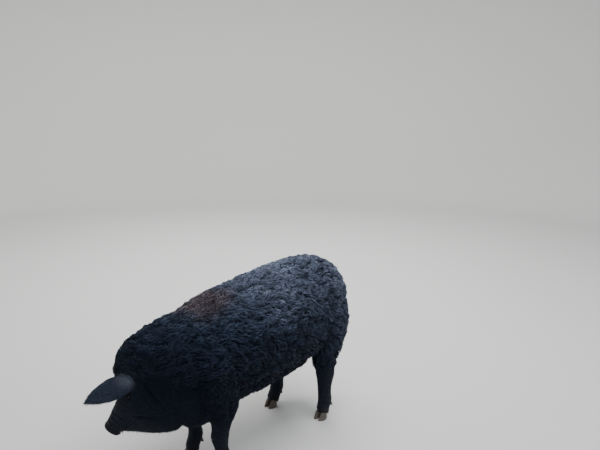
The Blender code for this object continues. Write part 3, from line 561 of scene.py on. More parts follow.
@dataclass(frozen=True)
class Markings:
    """The animal's colours by place, which skin and coat share."""

    dark: Colour = (0.0031, 0.0042, 0.0100)
    # Painted blue-grey sheen on the upper flanks
    flank: Colour = (0.0185, 0.0248, 0.0450)
    # Painted sheen on the back
    back: Colour = (0.0980, 0.1120, 0.1580)
    shade: Colour = (0.0047, 0.0061, 0.0132)
    # Painted sheen, brightest, on top of the rump
    rump: Colour = (0.2050, 0.2280, 0.3000)
    # Painted blue-grey sheen on the ears
    ear: Colour = (0.0300, 0.0360, 0.0560)
    # Painted highlight over each ear's root
    crown: Colour = (0.1150, 0.1280, 0.1620)
    soil: Colour = (0.0680, 0.0460, 0.0465)
    dust: Colour = (0.0520, 0.0420, 0.0340)
    snout: Colour = (0.0130, 0.0095, 0.0090)
    soiled: Row = (0.250, -0.030, 0.775)
    snout_tip: Row = (0.684, -0.114, 0.329)
    # Middles of the painted highlights over the ears' roots
    crowns: tuple[Vector, ...] = ()

    def paint(self, wiring: Wiring, place: Socket) -> Socket:
        """Builds the colour.

        Args:
            wiring: The material's wiring.
            place: The point being shaded.

        Returns:
            The colour: black, with a painted blue-grey sheen on the upper flanks, back, rump, haunches and
                ears, a painted highlight over each ear's root, soil on the withers and dust on the feet.
        """
        x, z = wiring.axis(place, "X"), wiring.axis(place, "Z")
        broad = wiring.noise(place, 5.0, 2.0)
        fine = wiring.noise(place, 38.0, 3.0)
        uneven = (broad - 0.5) * 0.30 + (fine - 0.5) * 0.16
        # Masks of the painted sheen, which slope with the back, which falls towards the withers
        high = (z - x * 0.26 + uneven * 0.8).rises(0.38, 0.72)
        top = (z - x * 0.24 + uneven * 0.8).rises(0.60, 0.92)
        ahead = (x + uneven * 0.3).rises(0.16, 0.40)
        colour = wiring.blend((x + uneven * 0.2).rises(0.33, 0.45), self.shade, self.dark)
        # Painted sheen on the upper flanks, weaker towards the head
        colour = wiring.blend(high * (1 - ahead * 0.58), colour, self.flank)
        # Painted sheen on top of the back, fading towards the shoulders
        fore = (x + uneven * 0.3).rises(-0.18, 0.36)
        colour = wiring.blend(top * (1 - fore * 0.88), colour, self.back)
        # Painted sheen over the hindquarters, brightest on top of the rump
        behind = (x + uneven * 0.3).rises(-0.34, -0.60)
        colour = wiring.blend(behind * high * 0.75, colour, self.back)
        colour = wiring.blend(behind * top * 0.60, colour, self.rump)
        # Painted sheen on the haunches
        ham_sheen = (x + uneven * 0.3).rises(-0.26, -0.46) * (z + uneven * 0.3).rises(0.24, 0.38)
        colour = wiring.blend(ham_sheen * 0.45, colour, self.flank)
        # Painted blue-grey sheen on the ears
        ear = wiring.attribute("ear")
        colour = wiring.blend(ear * 0.85, colour, self.ear)
        # Painted highlight over each ear's root, strongest on the ear itself
        for middle in self.crowns:
            crown = wiring.away(place, middle) + uneven * 0.08
            colour = wiring.blend(crown.rises(0.070, 0.020) * (0.10 + ear * 0.60), colour, self.crown)
        soil = wiring.away(place, Vector(self.soiled)) + uneven * 0.42
        colour = wiring.blend(soil.rises(0.180, 0.060) * 0.90, colour, self.soil)
        snout = wiring.away(place, Vector(self.snout_tip)) + uneven * 0.18
        colour = wiring.blend(snout.rises(0.100, 0.050) * 0.70, colour, self.snout)
        shin = (z + uneven * 0.40).rises(0.330, 0.080)
        colour = wiring.blend(shin * 0.16, colour, self.dust)
        foot = (z + uneven * 0.20).rises(0.085, 0.012)
        return wiring.blend(foot * 0.70, colour, self.dust)


@dataclass(frozen=True)
class CoatFinish:
    """Hair: the markings, darker at the roots, with streaks and a sheen along each tuft."""

    name: str
    root: float = 0.44
    tip: float = 1.74
    rough: float = 0.50
    gloss: Colour = (0.50, 0.69, 1.0)
    sheen: Colour = (0.50, 0.66, 1.0)

    def make(self, markings: Markings) -> bpy.types.Material:
        """Builds the material.

        Args:
            markings: The colours by place.

        Returns:
            The material.
        """
        wiring = Wiring(self.name)
        place = wiring.place()
        colour = markings.paint(wiring, place)
        along, tone, across = (wiring.attribute(name) for name in ("along", "tone", "across"))
        spot = wiring.add("ShaderNodeCombineXYZ", None,
                          {0: across * 7.0 + tone * 37.0, 1: along * 1.6 + tone * 91.0, 2: tone * 13.0})
        streaks = wiring.noise(spot, 2.4, 2.0).rises(0.34, 0.66)
        light = (self.root + (self.tip - self.root) * along) * (0.30 + 1.4 * tone) * (0.55 + 0.9 * streaks)
        grey = wiring.add("ShaderNodeCombineColor", None, {0: light, 1: light, 2: light})
        colour = wiring.blend(1.0, colour, grey, "MULTIPLY")
        wiring.shade(Base_Color=colour, Roughness=self.rough + (streaks - 0.5) * 0.30,
                     Normal=wiring.bump(streaks, 0.0007), Specular_IOR_Level=0.24,
                     Specular_Tint=self.gloss, Sheen_Weight=0.06, Sheen_Roughness=0.45,
                     Sheen_Tint=self.sheen)
        return wiring.material


@dataclass(frozen=True)
class SkinFinish:
    """Dark skin with pores, fine wrinkles and short flat hair, with painted shade where the body's coat
    covers it.
    """

    name: str
    hair: float = 0.0010
    pore: float = 0.00035
    rough: float = 0.55
    gloss: Colour = (0.55, 0.72, 1.0)
    mottle: Colour = (0.010, 0.010, 0.014)
    undercoat: Colour = (0.0012, 0.0014, 0.0024)
    # Painted shade on the skin under the body's coat
    strand: Colour = (0.0015, 0.0018, 0.0030)

    def make(self, markings: Markings) -> bpy.types.Material:
        """Builds the material.

        Args:
            markings: The colours by place.

        Returns:
            The material.
        """
        wiring = Wiring(self.name)
        place = wiring.place()
        colour = markings.paint(wiring, place)
        mottle = wiring.noise(place, 90.0, 4.0)
        colour = wiring.blend((mottle - 0.35) * 0.6, colour, self.mottle)
        # Painted shade under the body's coat
        colour = wiring.blend(wiring.attribute("covered") * 0.70, colour, self.undercoat)
        strands = wiring.noise(place, 300.0, 2.0, (1.0, 1.0, 0.16)).rises(0.30, 0.70)
        colour = wiring.blend(strands * 0.6, colour, self.strand)
        pores = wiring.add("ShaderNodeTexVoronoi", {"feature": "SMOOTH_F1"},
                           {"Vector": place, "Scale": 520.0, "Smoothness": 0.6}, "Distance")
        normal = wiring.bump(strands, self.hair)
        normal = wiring.bump(pores, self.pore, normal)
        wiring.shade(Base_Color=colour, Roughness=self.rough + (mottle - 0.5) * 0.25, Normal=normal,
                     Specular_IOR_Level=0.24, Specular_Tint=self.gloss)
        return wiring.material


# The animal's form, over its bare skin


@dataclass
class Trunk:
    """The barrel, croup and chest."""

    croup: float = 0.822
    withers: float = 0.762
    clearance: float = 0.318
    back: float = -0.584
    half: float = 0.222
    sides: int = 36

    def stations(self) -> list[Row]:
        """The sizes of the trunk's rings.

        Returns:
            X, top, underside and half width, from the rump to the front of the chest.
        """
        high, low, wide = self.croup, self.clearance, self.half
        return [
            (self.back, 0.82 * high, low + 0.235, 0.30 * wide),
            (-0.570, 0.888 * high, low + 0.175, 0.53 * wide),
            (-0.522, 0.957 * high, low + 0.110, 0.71 * wide),
            (-0.450, 0.994 * high, low + 0.058, 0.82 * wide),
            (-0.360, high, low + 0.030, 0.875 * wide),
            (-0.230, 0.998 * high, low + 0.008, 0.945 * wide),
            (-0.070, 0.985 * high, low, wide),
            (0.080, 0.965 * high, low - 0.002, wide),
            (0.200, self.withers + 0.022, low - 0.008, 0.95 * wide),
            (0.310, self.withers, low - 0.046, 0.87 * wide),
            (0.400, self.withers - 0.034, low - 0.058, 0.74 * wide),
            (0.470, self.withers - 0.090, low - 0.006, 0.58 * wide),
        ]

    def build(self, bm: bmesh.types.BMesh) -> None:
        """Adds the trunk to a mesh.

        Args:
            bm: The mesh.
        """
        rings = []
        for x, top, bottom, width in spline(self.stations(), 4):
            middle = 0.52 * top + 0.48 * bottom
            rings.append(oval(Vector((x, 0, middle)), AHEAD, UP, width, top - middle, middle - bottom,
                              self.sides, 2.25))
        loft(bm, rings)


@dataclass
class Neck:
    """The neck, bending right and down from the shoulders to the skull."""

    sides: int = 36
    # Centre, way it runs, half width, rise, drop
    stations: list[Row] = field(default_factory=lambda: [
        (0.280, 0.000, 0.560, 1.00, 0.00, 0.00, 0.168, 0.182, 0.240),
        (0.390, 0.000, 0.550, 1.00, -0.05, -0.08, 0.166, 0.207, 0.262),
        (0.465, -0.006, 0.534, 0.96, -0.20, -0.22, 0.156, 0.213, 0.272),
        (0.520, -0.018, 0.516, 0.86, -0.34, -0.42, 0.138, 0.212, 0.258),
        (0.562, -0.034, 0.500, 0.70, -0.40, -0.60, 0.112, 0.182, 0.214),
        (0.592, -0.052, 0.480, 0.60, -0.40, -0.70, 0.086, 0.140, 0.160),
    ])

    def build(self, bm: bmesh.types.BMesh) -> None:
        """Adds the neck to a mesh.

        Args:
            bm: The mesh.
        """
        rings = []
        for x, y, z, a, b, c, width, rise, drop in spline(self.stations, 4):
            rings.append(oval(Vector((x, y, z)), Vector((a, b, c)), UP, width, rise, drop, self.sides, 2.15))
        loft(bm, rings)


@dataclass
class Head:
    """The head: skull, cheeks, muzzle, snout, mouth and the relief of the face."""

    root: Vector = field(default_factory=lambda: Vector((0.548, -0.022, 0.551)))
    pitch: float = math.radians(53.5)
    yaw: float = math.radians(-34)
    roll: float = math.radians(8)
    sides: int = 48
    length: float = 0.266
    snout_width: float = 0.041
    snout_height: float = 0.036
    snout_depth: float = 0.020
    nostril_spread: float = 0.0170
    nostril_radius: float = 0.0080
    mouth_gap: float = 0.0030
    # Along the head's X, half width, rise over it, drop under it
    stations: list[Row] = field(default_factory=lambda: [
        (-0.045, 0.094, 0.108, 0.130), (0.000, 0.106, 0.120, 0.172), (0.045, 0.111, 0.106, 0.205),
        (0.090, 0.108, 0.078, 0.226), (0.130, 0.097, 0.062, 0.228), (0.162, 0.082, 0.055, 0.205),
        (0.193, 0.065, 0.050, 0.166), (0.219, 0.053, 0.046, 0.119), (0.241, 0.046, 0.042, 0.076),
        (0.257, 0.042, 0.039, 0.046), (0.274, 0.041, 0.036, 0.028),
    ])
    # Line of the mouth: X, half width there, Z
    mouth: list[Row] = field(default_factory=lambda: [
        (0.159, 0.078, -0.046), (0.180, 0.062, -0.0465), (0.201, 0.053, -0.042),
        (0.222, 0.047, -0.036), (0.2405, 0.043, -0.031),
    ])

    def frame(self) -> Matrix:
        """The head's own frame: X from the poll to the snout, Y to its left, Z out of the brow."""
        turn = Matrix.Rotation(self.yaw, 4, "Z") @ Matrix.Rotation(self.pitch, 4, "Y")
        return Matrix.Translation(self.root) @ turn @ Matrix.Rotation(self.roll, 4, "X")

    def inside(self, points: np.ndarray) -> np.ndarray:
        """Points given in the head's own frame."""
        back = np.array(self.frame().inverted())
        return points @ back[:3, :3].T + back[:3, 3]

    def build(self, bm: bmesh.types.BMesh) -> None:
        """Adds the skull and muzzle to a mesh.

        Args:
            bm: The mesh.
        """
        skull = self.frame()
        turn = skull.to_3x3()
        rings = []
        for along, width, rise, drop in spline(self.stations, 4):
            rings.append(oval(skull @ (AHEAD * along), turn @ AHEAD, turn @ UP, width, rise, drop,
                              self.sides, 2.2))
        loft(bm, rings)

    def relief(self, spots: np.ndarray) -> np.ndarray:
        """How far the face stands out: brows, bags, lips, folds and wrinkles.

        Args:
            spots: Points in the head's own frame.

        Returns:
            The relief at each.
        """
        x, y, z = spots[:, 0], np.abs(spots[:, 1]), spots[:, 2]
        side = np.clip((y - 0.040) / 0.020, 0, 1)
        brow = 0.0050 * ridge(np.hypot(x - 0.080, (z - 0.062) * 1.5), 0.026) * side
        bag = 0.0028 * ridge(np.hypot(x - 0.106, (z - 0.016) * 1.5), 0.016) * side
        for k, (drop, deep) in enumerate(((0.004, 0.0012), (0.013, 0.0016), (0.024, 0.0013))):
            crease = np.hypot((x - 0.100) * (0.9 - 0.1 * k), z - 0.040) - (0.019 + drop)
            bag -= deep * ridge(crease, 0.0030) * window(z, 0.0, 0.036, 0.012) * side
        line = [row[0] for row in self.mouth]
        gap = z - np.interp(x, line, [row[2] for row in self.mouth])
        lips = 0.0032 * window(x, 0.159, 0.2405, 0.012)
        lips *= ridge(gap - 0.0070, 0.0055) + ridge(gap + 0.0070, 0.0055)
        corner = -0.0050 * ridge(x - 0.146 - 0.5 * (z + 0.050), 0.008) * window(z, -0.095, -0.040, 0.02)
        fold = -0.0055 * ridge(x - 0.030 + 0.40 * (z + 0.020), 0.010) * window(z, -0.110, 0.010, 0.03)
        fold += -0.0030 * ridge(x - 0.062 + 0.55 * (z + 0.020), 0.007) * window(z, -0.090, -0.010, 0.03)
        jowl = -0.0030 * ridge(x - 0.105 - 0.25 * z, 0.009) * window(z, -0.150, -0.080, 0.03)
        wrinkles = sum(ridge(x - at - 0.15 * y + 0.004 * np.sin(y * 90 + at * 300), 0.0036)
                       for at in (0.195, 0.210, 0.2245, 0.238, 0.250))
        wrinkles = -0.0017 * wrinkles * window(z, 0.000, 0.080, 0.015)
        frown = sum(ridge(z - 0.052 - lift - 0.12 * np.abs(x - 0.09), 0.0030) for lift in (0.018, 0.029))
        frown = -0.0016 * frown * window(x, 0.055, 0.115, 0.02) * side
        return brow + bag + lips + (corner + fold + jowl) * side + wrinkles + frown

    def snout(self) -> bpy.types.Object:
        """The disc of the snout, with a rolled rim and a hollow face.

        Returns:
            The disc, closed, as the body takes it.
        """
        skull = self.frame()
        rings = []
        # How far each ring stands out of the head's end, and its share of the snout's size
        for along, share in ((-0.016, 0.93), (-0.004, 0.95), (0.002, 0.99), (0.007, 1.05), (0.013, 1.075),
                             (0.0175, 1.05), (0.0200, 0.985), (0.0198, 0.90), (0.0185, 0.72),
                             (0.0180, 0.40), (0.0184, 0.12)):
            height = self.snout_height * share
            ring = []
            for p in oval(Vector(), AHEAD, UP, self.snout_width * share, height, height * 0.96, 64, 2.25):
                notch = 0.0022 * math.exp(-(p.y / 0.007) ** 2) * (1 if p.z < 0 else 0.5) * min(share, 1.0)
                p.z -= math.copysign(notch, p.z)
                ring.append(skull @ (Vector((self.length + along, 0, 0.001)) + Vector((0, p.y, p.z))))
            rings.append(ring)
        return lofted("snout_form", rings)

    def nostril(self, side: int) -> bpy.types.Object:
        """The hollow of one nostril, a comma that runs out to the side.

        Args:
            side: 1 on the left and -1 on the right.

        Returns:
            The form that is cut away.
        """
        skull = self.frame()
        middle = Vector((self.length + self.snout_depth, side * self.nostril_spread, 0.004))
        rings = []
        # How far each ring stands out, its share of the radius and how far it drifts to the midline
        for along, share, drift in ((-0.022, 0.35, 0.005), (-0.014, 0.62, 0.003), (-0.006, 0.88, 0.001),
                                    (-0.001, 1.02, 0.0), (0.004, 1.35, -0.001)):
            reach = self.nostril_radius * share
            ring = []
            for p in oval(Vector(), AHEAD, UP, reach, reach * 1.15, reach * 1.15, 28):
                left = p.y * (1 + 0.25 * (p.y * side > 0)) - side * drift
                ring.append(skull @ (middle + Vector((along, left, p.z))))
            rings.append(ring)
        return lofted("nostril", rings)

    def mouth_slit(self) -> bpy.types.Object:
        """The line of the mouth, as a narrow slit round the muzzle.

        Returns:
            The form that is cut away.
        """
        skull = self.frame()
        path = [((x, y * 0.78, z), (x - 0.004, y * 1.35, z)) for x, y, z in spline(self.mouth, 4)]
        path.append(((0.2475, 0.022, -0.0285), (0.306, 0.035, -0.026)))
        path += [((a[0], -a[1], a[2]), (b[0], -b[1], b[2])) for a, b in reversed(path)]
        bm = bmesh.new()
        rows = []
        half = self.mouth_gap / 2
        for inner, outer in path:
            rows.append([bm.verts.new(skull @ (Vector(p) + UP * lift)) for p, lift in
                         ((inner, -half * 0.3), (inner, half * 0.3), (outer, half), (outer, -half))])
        for first, second in zip(rows, rows[1:]):
            bridge(bm, first, second)
        bm.faces.new(list(reversed(rows[0])))
        bm.faces.new(rows[-1])
        bmesh.ops.triangulate(bm, faces=bm.faces)
        return as_object("mouth", bm)


@dataclass
class Leg:
    """One leg, from inside the trunk to the flesh over its claws."""

    name: str
    foot: float
    side: int
    back: float
    spread: float
    sides: int = 24
    hips: float = -0.398
    fore_track: float = 0.120
    hind_track: float = 0.125
    pastern: float = 0.09
    inset: float = 0.0008
    # Along X from the foot, out from the midline, height, half length, half width
    fore: list[Row] = field(default_factory=lambda: [
        (0.040, 0.085, 0.660, 0.095, 0.070), (0.040, 0.118, 0.560, 0.112, 0.088),
        (0.004, 0.134, 0.455, 0.101, 0.074), (-0.020, 0.128, 0.380, 0.080, 0.062),
        (-0.022, 0.124, 0.310, 0.058, 0.049), (-0.018, 0.123, 0.245, 0.040, 0.037),
        (-0.014, 0.121, 0.205, 0.038, 0.036), (-0.022, 0.120, 0.150, 0.029, 0.029),
        (-0.030, 0.120, 0.105, 0.033, 0.033), (-0.020, 0.120, 0.074, 0.032, 0.034),
        (-0.008, 0.120, 0.048, 0.029, 0.034), (-0.014, 0.120, 0.032, 0.022, 0.031),
        (-0.017, 0.120, 0.019, 0.013, 0.024),
    ])
    hind: list[Row] = field(default_factory=lambda: [
        (-0.030, 0.070, 0.680, 0.120, 0.080), (-0.040, 0.099, 0.570, 0.124, 0.097),
        (-0.042, 0.119, 0.480, 0.110, 0.082), (-0.030, 0.127, 0.405, 0.086, 0.061),
        (-0.018, 0.130, 0.340, 0.062, 0.047), (-0.015, 0.132, 0.285, 0.055, 0.041),
        (-0.020, 0.131, 0.235, 0.051, 0.038), (-0.018, 0.128, 0.175, 0.037, 0.033),
        (-0.020, 0.126, 0.125, 0.034, 0.032), (-0.024, 0.125, 0.098, 0.035, 0.034),
        (-0.018, 0.125, 0.072, 0.032, 0.034), (-0.008, 0.125, 0.048, 0.029, 0.034),
        (-0.014, 0.125, 0.032, 0.022, 0.031), (-0.017, 0.125, 0.019, 0.013, 0.024),
    ])

    def is_fore(self) -> bool:
        """Whether it is a foreleg."""
        return self.name.startswith("fore")

    def rows(self) -> list[Row]:
        """The centre line and thickness of the leg.

        Returns:
            X, Y, Z, half length and half width, from the top down.
        """
        rows = []
        stations = self.fore if self.is_fore() else self.hind
        for along, out, height, half_length, half_width in spline(stations, 4):
            lean = self.back * math.sin(math.pi * held((height - 0.03) / 0.42))
            level = 0.0 if self.is_fore() else held((height - 0.25) / 0.25) * (self.hips - self.foot)
            wide = 1 + (self.spread - 1) * held((0.45 - height) / 0.35)
            rows.append((self.foot + along - lean + level, self.side * out * wide, height,
                         half_length, half_width))
        return rows

    def build(self, bm: bmesh.types.BMesh) -> None:
        """Adds the leg to a mesh.

        Args:
            bm: The mesh.
        """
        rings = []
        rows = self.rows()
        for k, (x, y, height, half_length, half_width) in enumerate(rows):
            way = -UP if height < self.pastern else way_at(rows, k)
            length = half_length - self.inset
            rings.append(oval(Vector((x, y, height)), way, AHEAD, half_width - self.inset, length, length,
                              self.sides, 2.1))
        loft(bm, rings)

    def foot_y(self) -> float:
        """How far left the middle of the foot stands."""
        return self.side * self.spread * (self.fore_track if self.is_fore() else self.hind_track)


def legs() -> list[Leg]:
    """The four legs, each with its foot's place and stance."""
    return [Leg("foreleg_left", 0.322, 1, 0.000, 0.95), Leg("foreleg_right", 0.272, -1, 0.000, 1.00),
            Leg("hindleg_left", -0.392, 1, 0.000, 1.03), Leg("hindleg_right", -0.322, -1, 0.030, 1.22)]


@dataclass
class Ear:
    """One cupped ear, its root sunk in the head."""

    head: Head
    side: int
    way: Row
    root: Row = (0.022, 0.082, 0.082)
    back: Row = (-0.40, 0.60, 0.69)
    length: float = 0.196
    width: float = 0.127
    thick: float = 0.0062
    sunk: float = 0.030
    droop: float = 0.020
    lengths: int = 36
    widths: int = 28
    # Share of the length, share of the width, curl
    shape: list[Row] = field(default_factory=lambda: [
        (0.00, 0.66, 2.10), (0.12, 0.80, 1.75), (0.28, 0.97, 1.30), (0.45, 1.00, 0.98),
        (0.62, 0.87, 0.78), (0.78, 0.63, 0.60), (0.90, 0.37, 0.42), (1.00, 0.08, 0.25),
    ])

    def mirrored(self, row: Row) -> Vector:
        """A point or way of the head's frame, put on this ear's side."""
        return Vector((row[0], self.side * row[1], row[2]))

    def crown(self) -> Vector:
        """The point over the ear's root, at its upper rim."""
        return self.head.frame() @ self.mirrored(np.add(self.root, (0.006, 0.010, 0.008)))

    def sheet(self) -> tuple[np.ndarray, np.ndarray]:
        """The middle of the ear's sheet.

        Returns:
            Its points, and the ways out of its back, both by length and width.
        """
        skull = self.head.frame()
        turn = skull.to_3x3()
        root, way, back = self.mirrored(self.root), self.mirrored(self.way), self.mirrored(self.back)
        way.normalize()
        back = (back - way * back.dot(way)).normalized()
        across = way.cross(back).normalized()
        shares, widths, curls = np.array(self.shape).T
        spots = np.zeros((self.lengths + 1, self.widths + 1, 3))
        outs = np.zeros_like(spots)
        for i in range(self.lengths + 1):
            s = i / self.lengths
            curl = np.interp(s, shares, curls)
            radius = np.interp(s, shares, widths) * self.width / 2 / curl
            middle = root + way * (-self.sunk + s * (self.length + self.sunk))
            middle -= back * (self.droop * s * s - 0.35 * self.droop * s)
            for j in range(self.widths + 1):
                t = 2 * j / self.widths - 1
                bend = t * curl
                normal = across * math.sin(bend) + back * math.cos(bend)
                spot = middle + across * math.sin(bend) * radius - back * radius * (1 - math.cos(bend))
                wave = 0.0016 * math.sin(7 * s + 5 * t) * s + 0.0010 * math.sin(19 * s - 8 * t) * abs(t)
                spots[i, j] = skull @ (spot + normal * wave)
                outs[i, j] = turn @ normal
        return spots, outs

    def build(self) -> bpy.types.Object:
        """The ear as a closed sheet, thin at its rim.

        Returns:
            The ear.
        """
        spots, outs = self.sheet()
        bm = bmesh.new()
        sheets = []
        for sign in (1, -1):
            rows = []
            for i in range(self.lengths + 1):
                s = i / self.lengths
                row = []
                for j in range(self.widths + 1):
                    t = 2 * j / self.widths - 1
                    half = self.thick / 2 * (1 - 0.62 * abs(t) ** 3) * (1 - 0.55 * s)
                    row.append(bm.verts.new(Vector(spots[i, j]) + Vector(outs[i, j]) * half * sign))
                rows.append(row)
            sheets.append(rows)
        outer, inner = sheets
        for i in range(self.lengths):
            for j in range(self.widths):
                for rows, flip in ((outer, False), (inner, True)):
                    face = (rows[i][j], rows[i][j + 1], rows[i + 1][j + 1], rows[i + 1][j])
                    bm.faces.new(tuple(reversed(face)) if flip else face)
        last, wide = self.lengths, self.widths
        rim = ([(i, 0) for i in range(last + 1)] + [(last, j) for j in range(1, wide + 1)]
               + [(i, wide) for i in range(last - 1, -1, -1)] + [(0, j) for j in range(wide - 1, 0, -1)])
        for (a, b), (c, d) in zip(rim, rim[1:] + rim[:1]):
            bm.faces.new((outer[a][b], outer[c][d], inner[c][d], inner[a][b]))
        return as_object("ear_form", bm)


@dataclass
class Tail:
    """The tail's flesh, from inside the croup to under its switch."""

    radius: float = 0.0145
    sides: int = 20
    path: list[Row] = field(default_factory=lambda: [
        (-0.545, 0.004, 0.705, 1.00), (-0.592, 0.006, 0.708, 0.95), (-0.626, 0.008, 0.690, 0.82),
        (-0.642, 0.010, 0.650, 0.70), (-0.646, 0.014, 0.595, 0.60), (-0.648, 0.018, 0.535, 0.52),
        (-0.650, 0.020, 0.480, 0.46), (-0.651, 0.021, 0.425, 0.20),
    ])

    def build(self) -> bpy.types.Object:
        """The tail as a closed tube.

        Returns:
            The tube.
        """
        rows = spline(self.path, 6)
        rings = []
        for k, row in enumerate(rows):
            size = self.radius * row[3]
            rings.append(oval(Vector(row[:3]), way_at(rows, k), Vector((0, 1, 0)), size, size, size,
                              self.sides))
        return lofted("tail_form", rings)


@dataclass
class EyeSocket:
    """The place of one eye, and its lids."""

    head: Head
    side: int
    radius: float = 0.0120
    lid: float = 0.0024
    half_slit: float = 0.0108
    upper_slit: float = 0.0066
    lower_slit: float = 0.0052
    centre: Vector = field(default_factory=Vector)
    look: Vector = field(default_factory=Vector)
    along: Vector = field(default_factory=Vector)
    across: Vector = field(default_factory=Vector)

    def find(self, node: str) -> None:
        """Takes the eye's centre from its solid, and its ways from the head's frame.

        Args:
            node: The solid of the eyeball.
        """
        low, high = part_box(node)
        self.centre = (Vector(low) + Vector(high)) / 2 - SHIFT
        turn = self.head.frame().to_3x3()
        self.look = (turn @ Vector((0.16, self.side * 0.93, 0.33))).normalized()
        self.along = (turn @ Vector((1.0, 0, -0.25))).normalized()
        self.along = (self.along - self.look * self.along.dot(self.look)).normalized()
        self.across = self.look.cross(self.along)
        if self.across.dot(turn @ UP) < 0:
            self.across = -self.across

    def ball(self, name: str, radius: float, rings: int = 32, sides: int = 48) -> bpy.types.Object:
        """A sphere round the eye's centre, its pole towards the way it looks.

        Args:
            name: The object's name.
            radius: The sphere's radius.
            rings: Faces from pole to pole.
            sides: Faces round it.

        Returns:
            The sphere.
        """
        bm = bmesh.new()
        rows = []
        for k in range(1, rings):
            out, up = radius * math.sin(math.pi * k / rings), -radius * math.cos(math.pi * k / rings)
            rows.append([bm.verts.new((c * out, s * out, up)) for _, c, s in circle(sides)])
        for first, second in zip(rows, rows[1:]):
            bridge(bm, first, second)
        fan(bm, bm.verts.new((0, 0, -radius)), rows[0], -1)
        fan(bm, bm.verts.new((0, 0, radius)), rows[-1], 1)
        turn = self.look.to_track_quat("Z", "Y").to_matrix().to_4x4()
        bmesh.ops.transform(bm, matrix=Matrix.Translation(self.centre) @ turn, verts=bm.verts)
        return as_object(name, bm)

    def slit(self) -> bpy.types.Object:
        """The almond opening between the lids.

        Returns:
            The form that is cut away.
        """
        bm = bmesh.new()
        near, far = [], []
        for _, c, s in circle(40):
            reach = self.half_slit * c
            height = self.upper_slit if s > 0 else self.lower_slit
            rise = height * math.copysign(abs(s) ** 1.25, s) - 0.0004
            spot = self.centre + self.along * reach + self.across * rise
            near.append(bm.verts.new(spot + self.look * 0.003))
            far.append(bm.verts.new(spot + self.look * 0.05 + self.along * reach * 1.5
                                    + self.across * rise * 1.5))
        bm.faces.new(near)
        bm.faces.new(list(reversed(far)))
        for k in range(40):
            n = (k + 1) % 40
            bm.faces.new((near[n], near[k], far[k], far[n]))
        bmesh.ops.triangulate(bm, faces=bm.faces)
        return as_object("slit", bm)


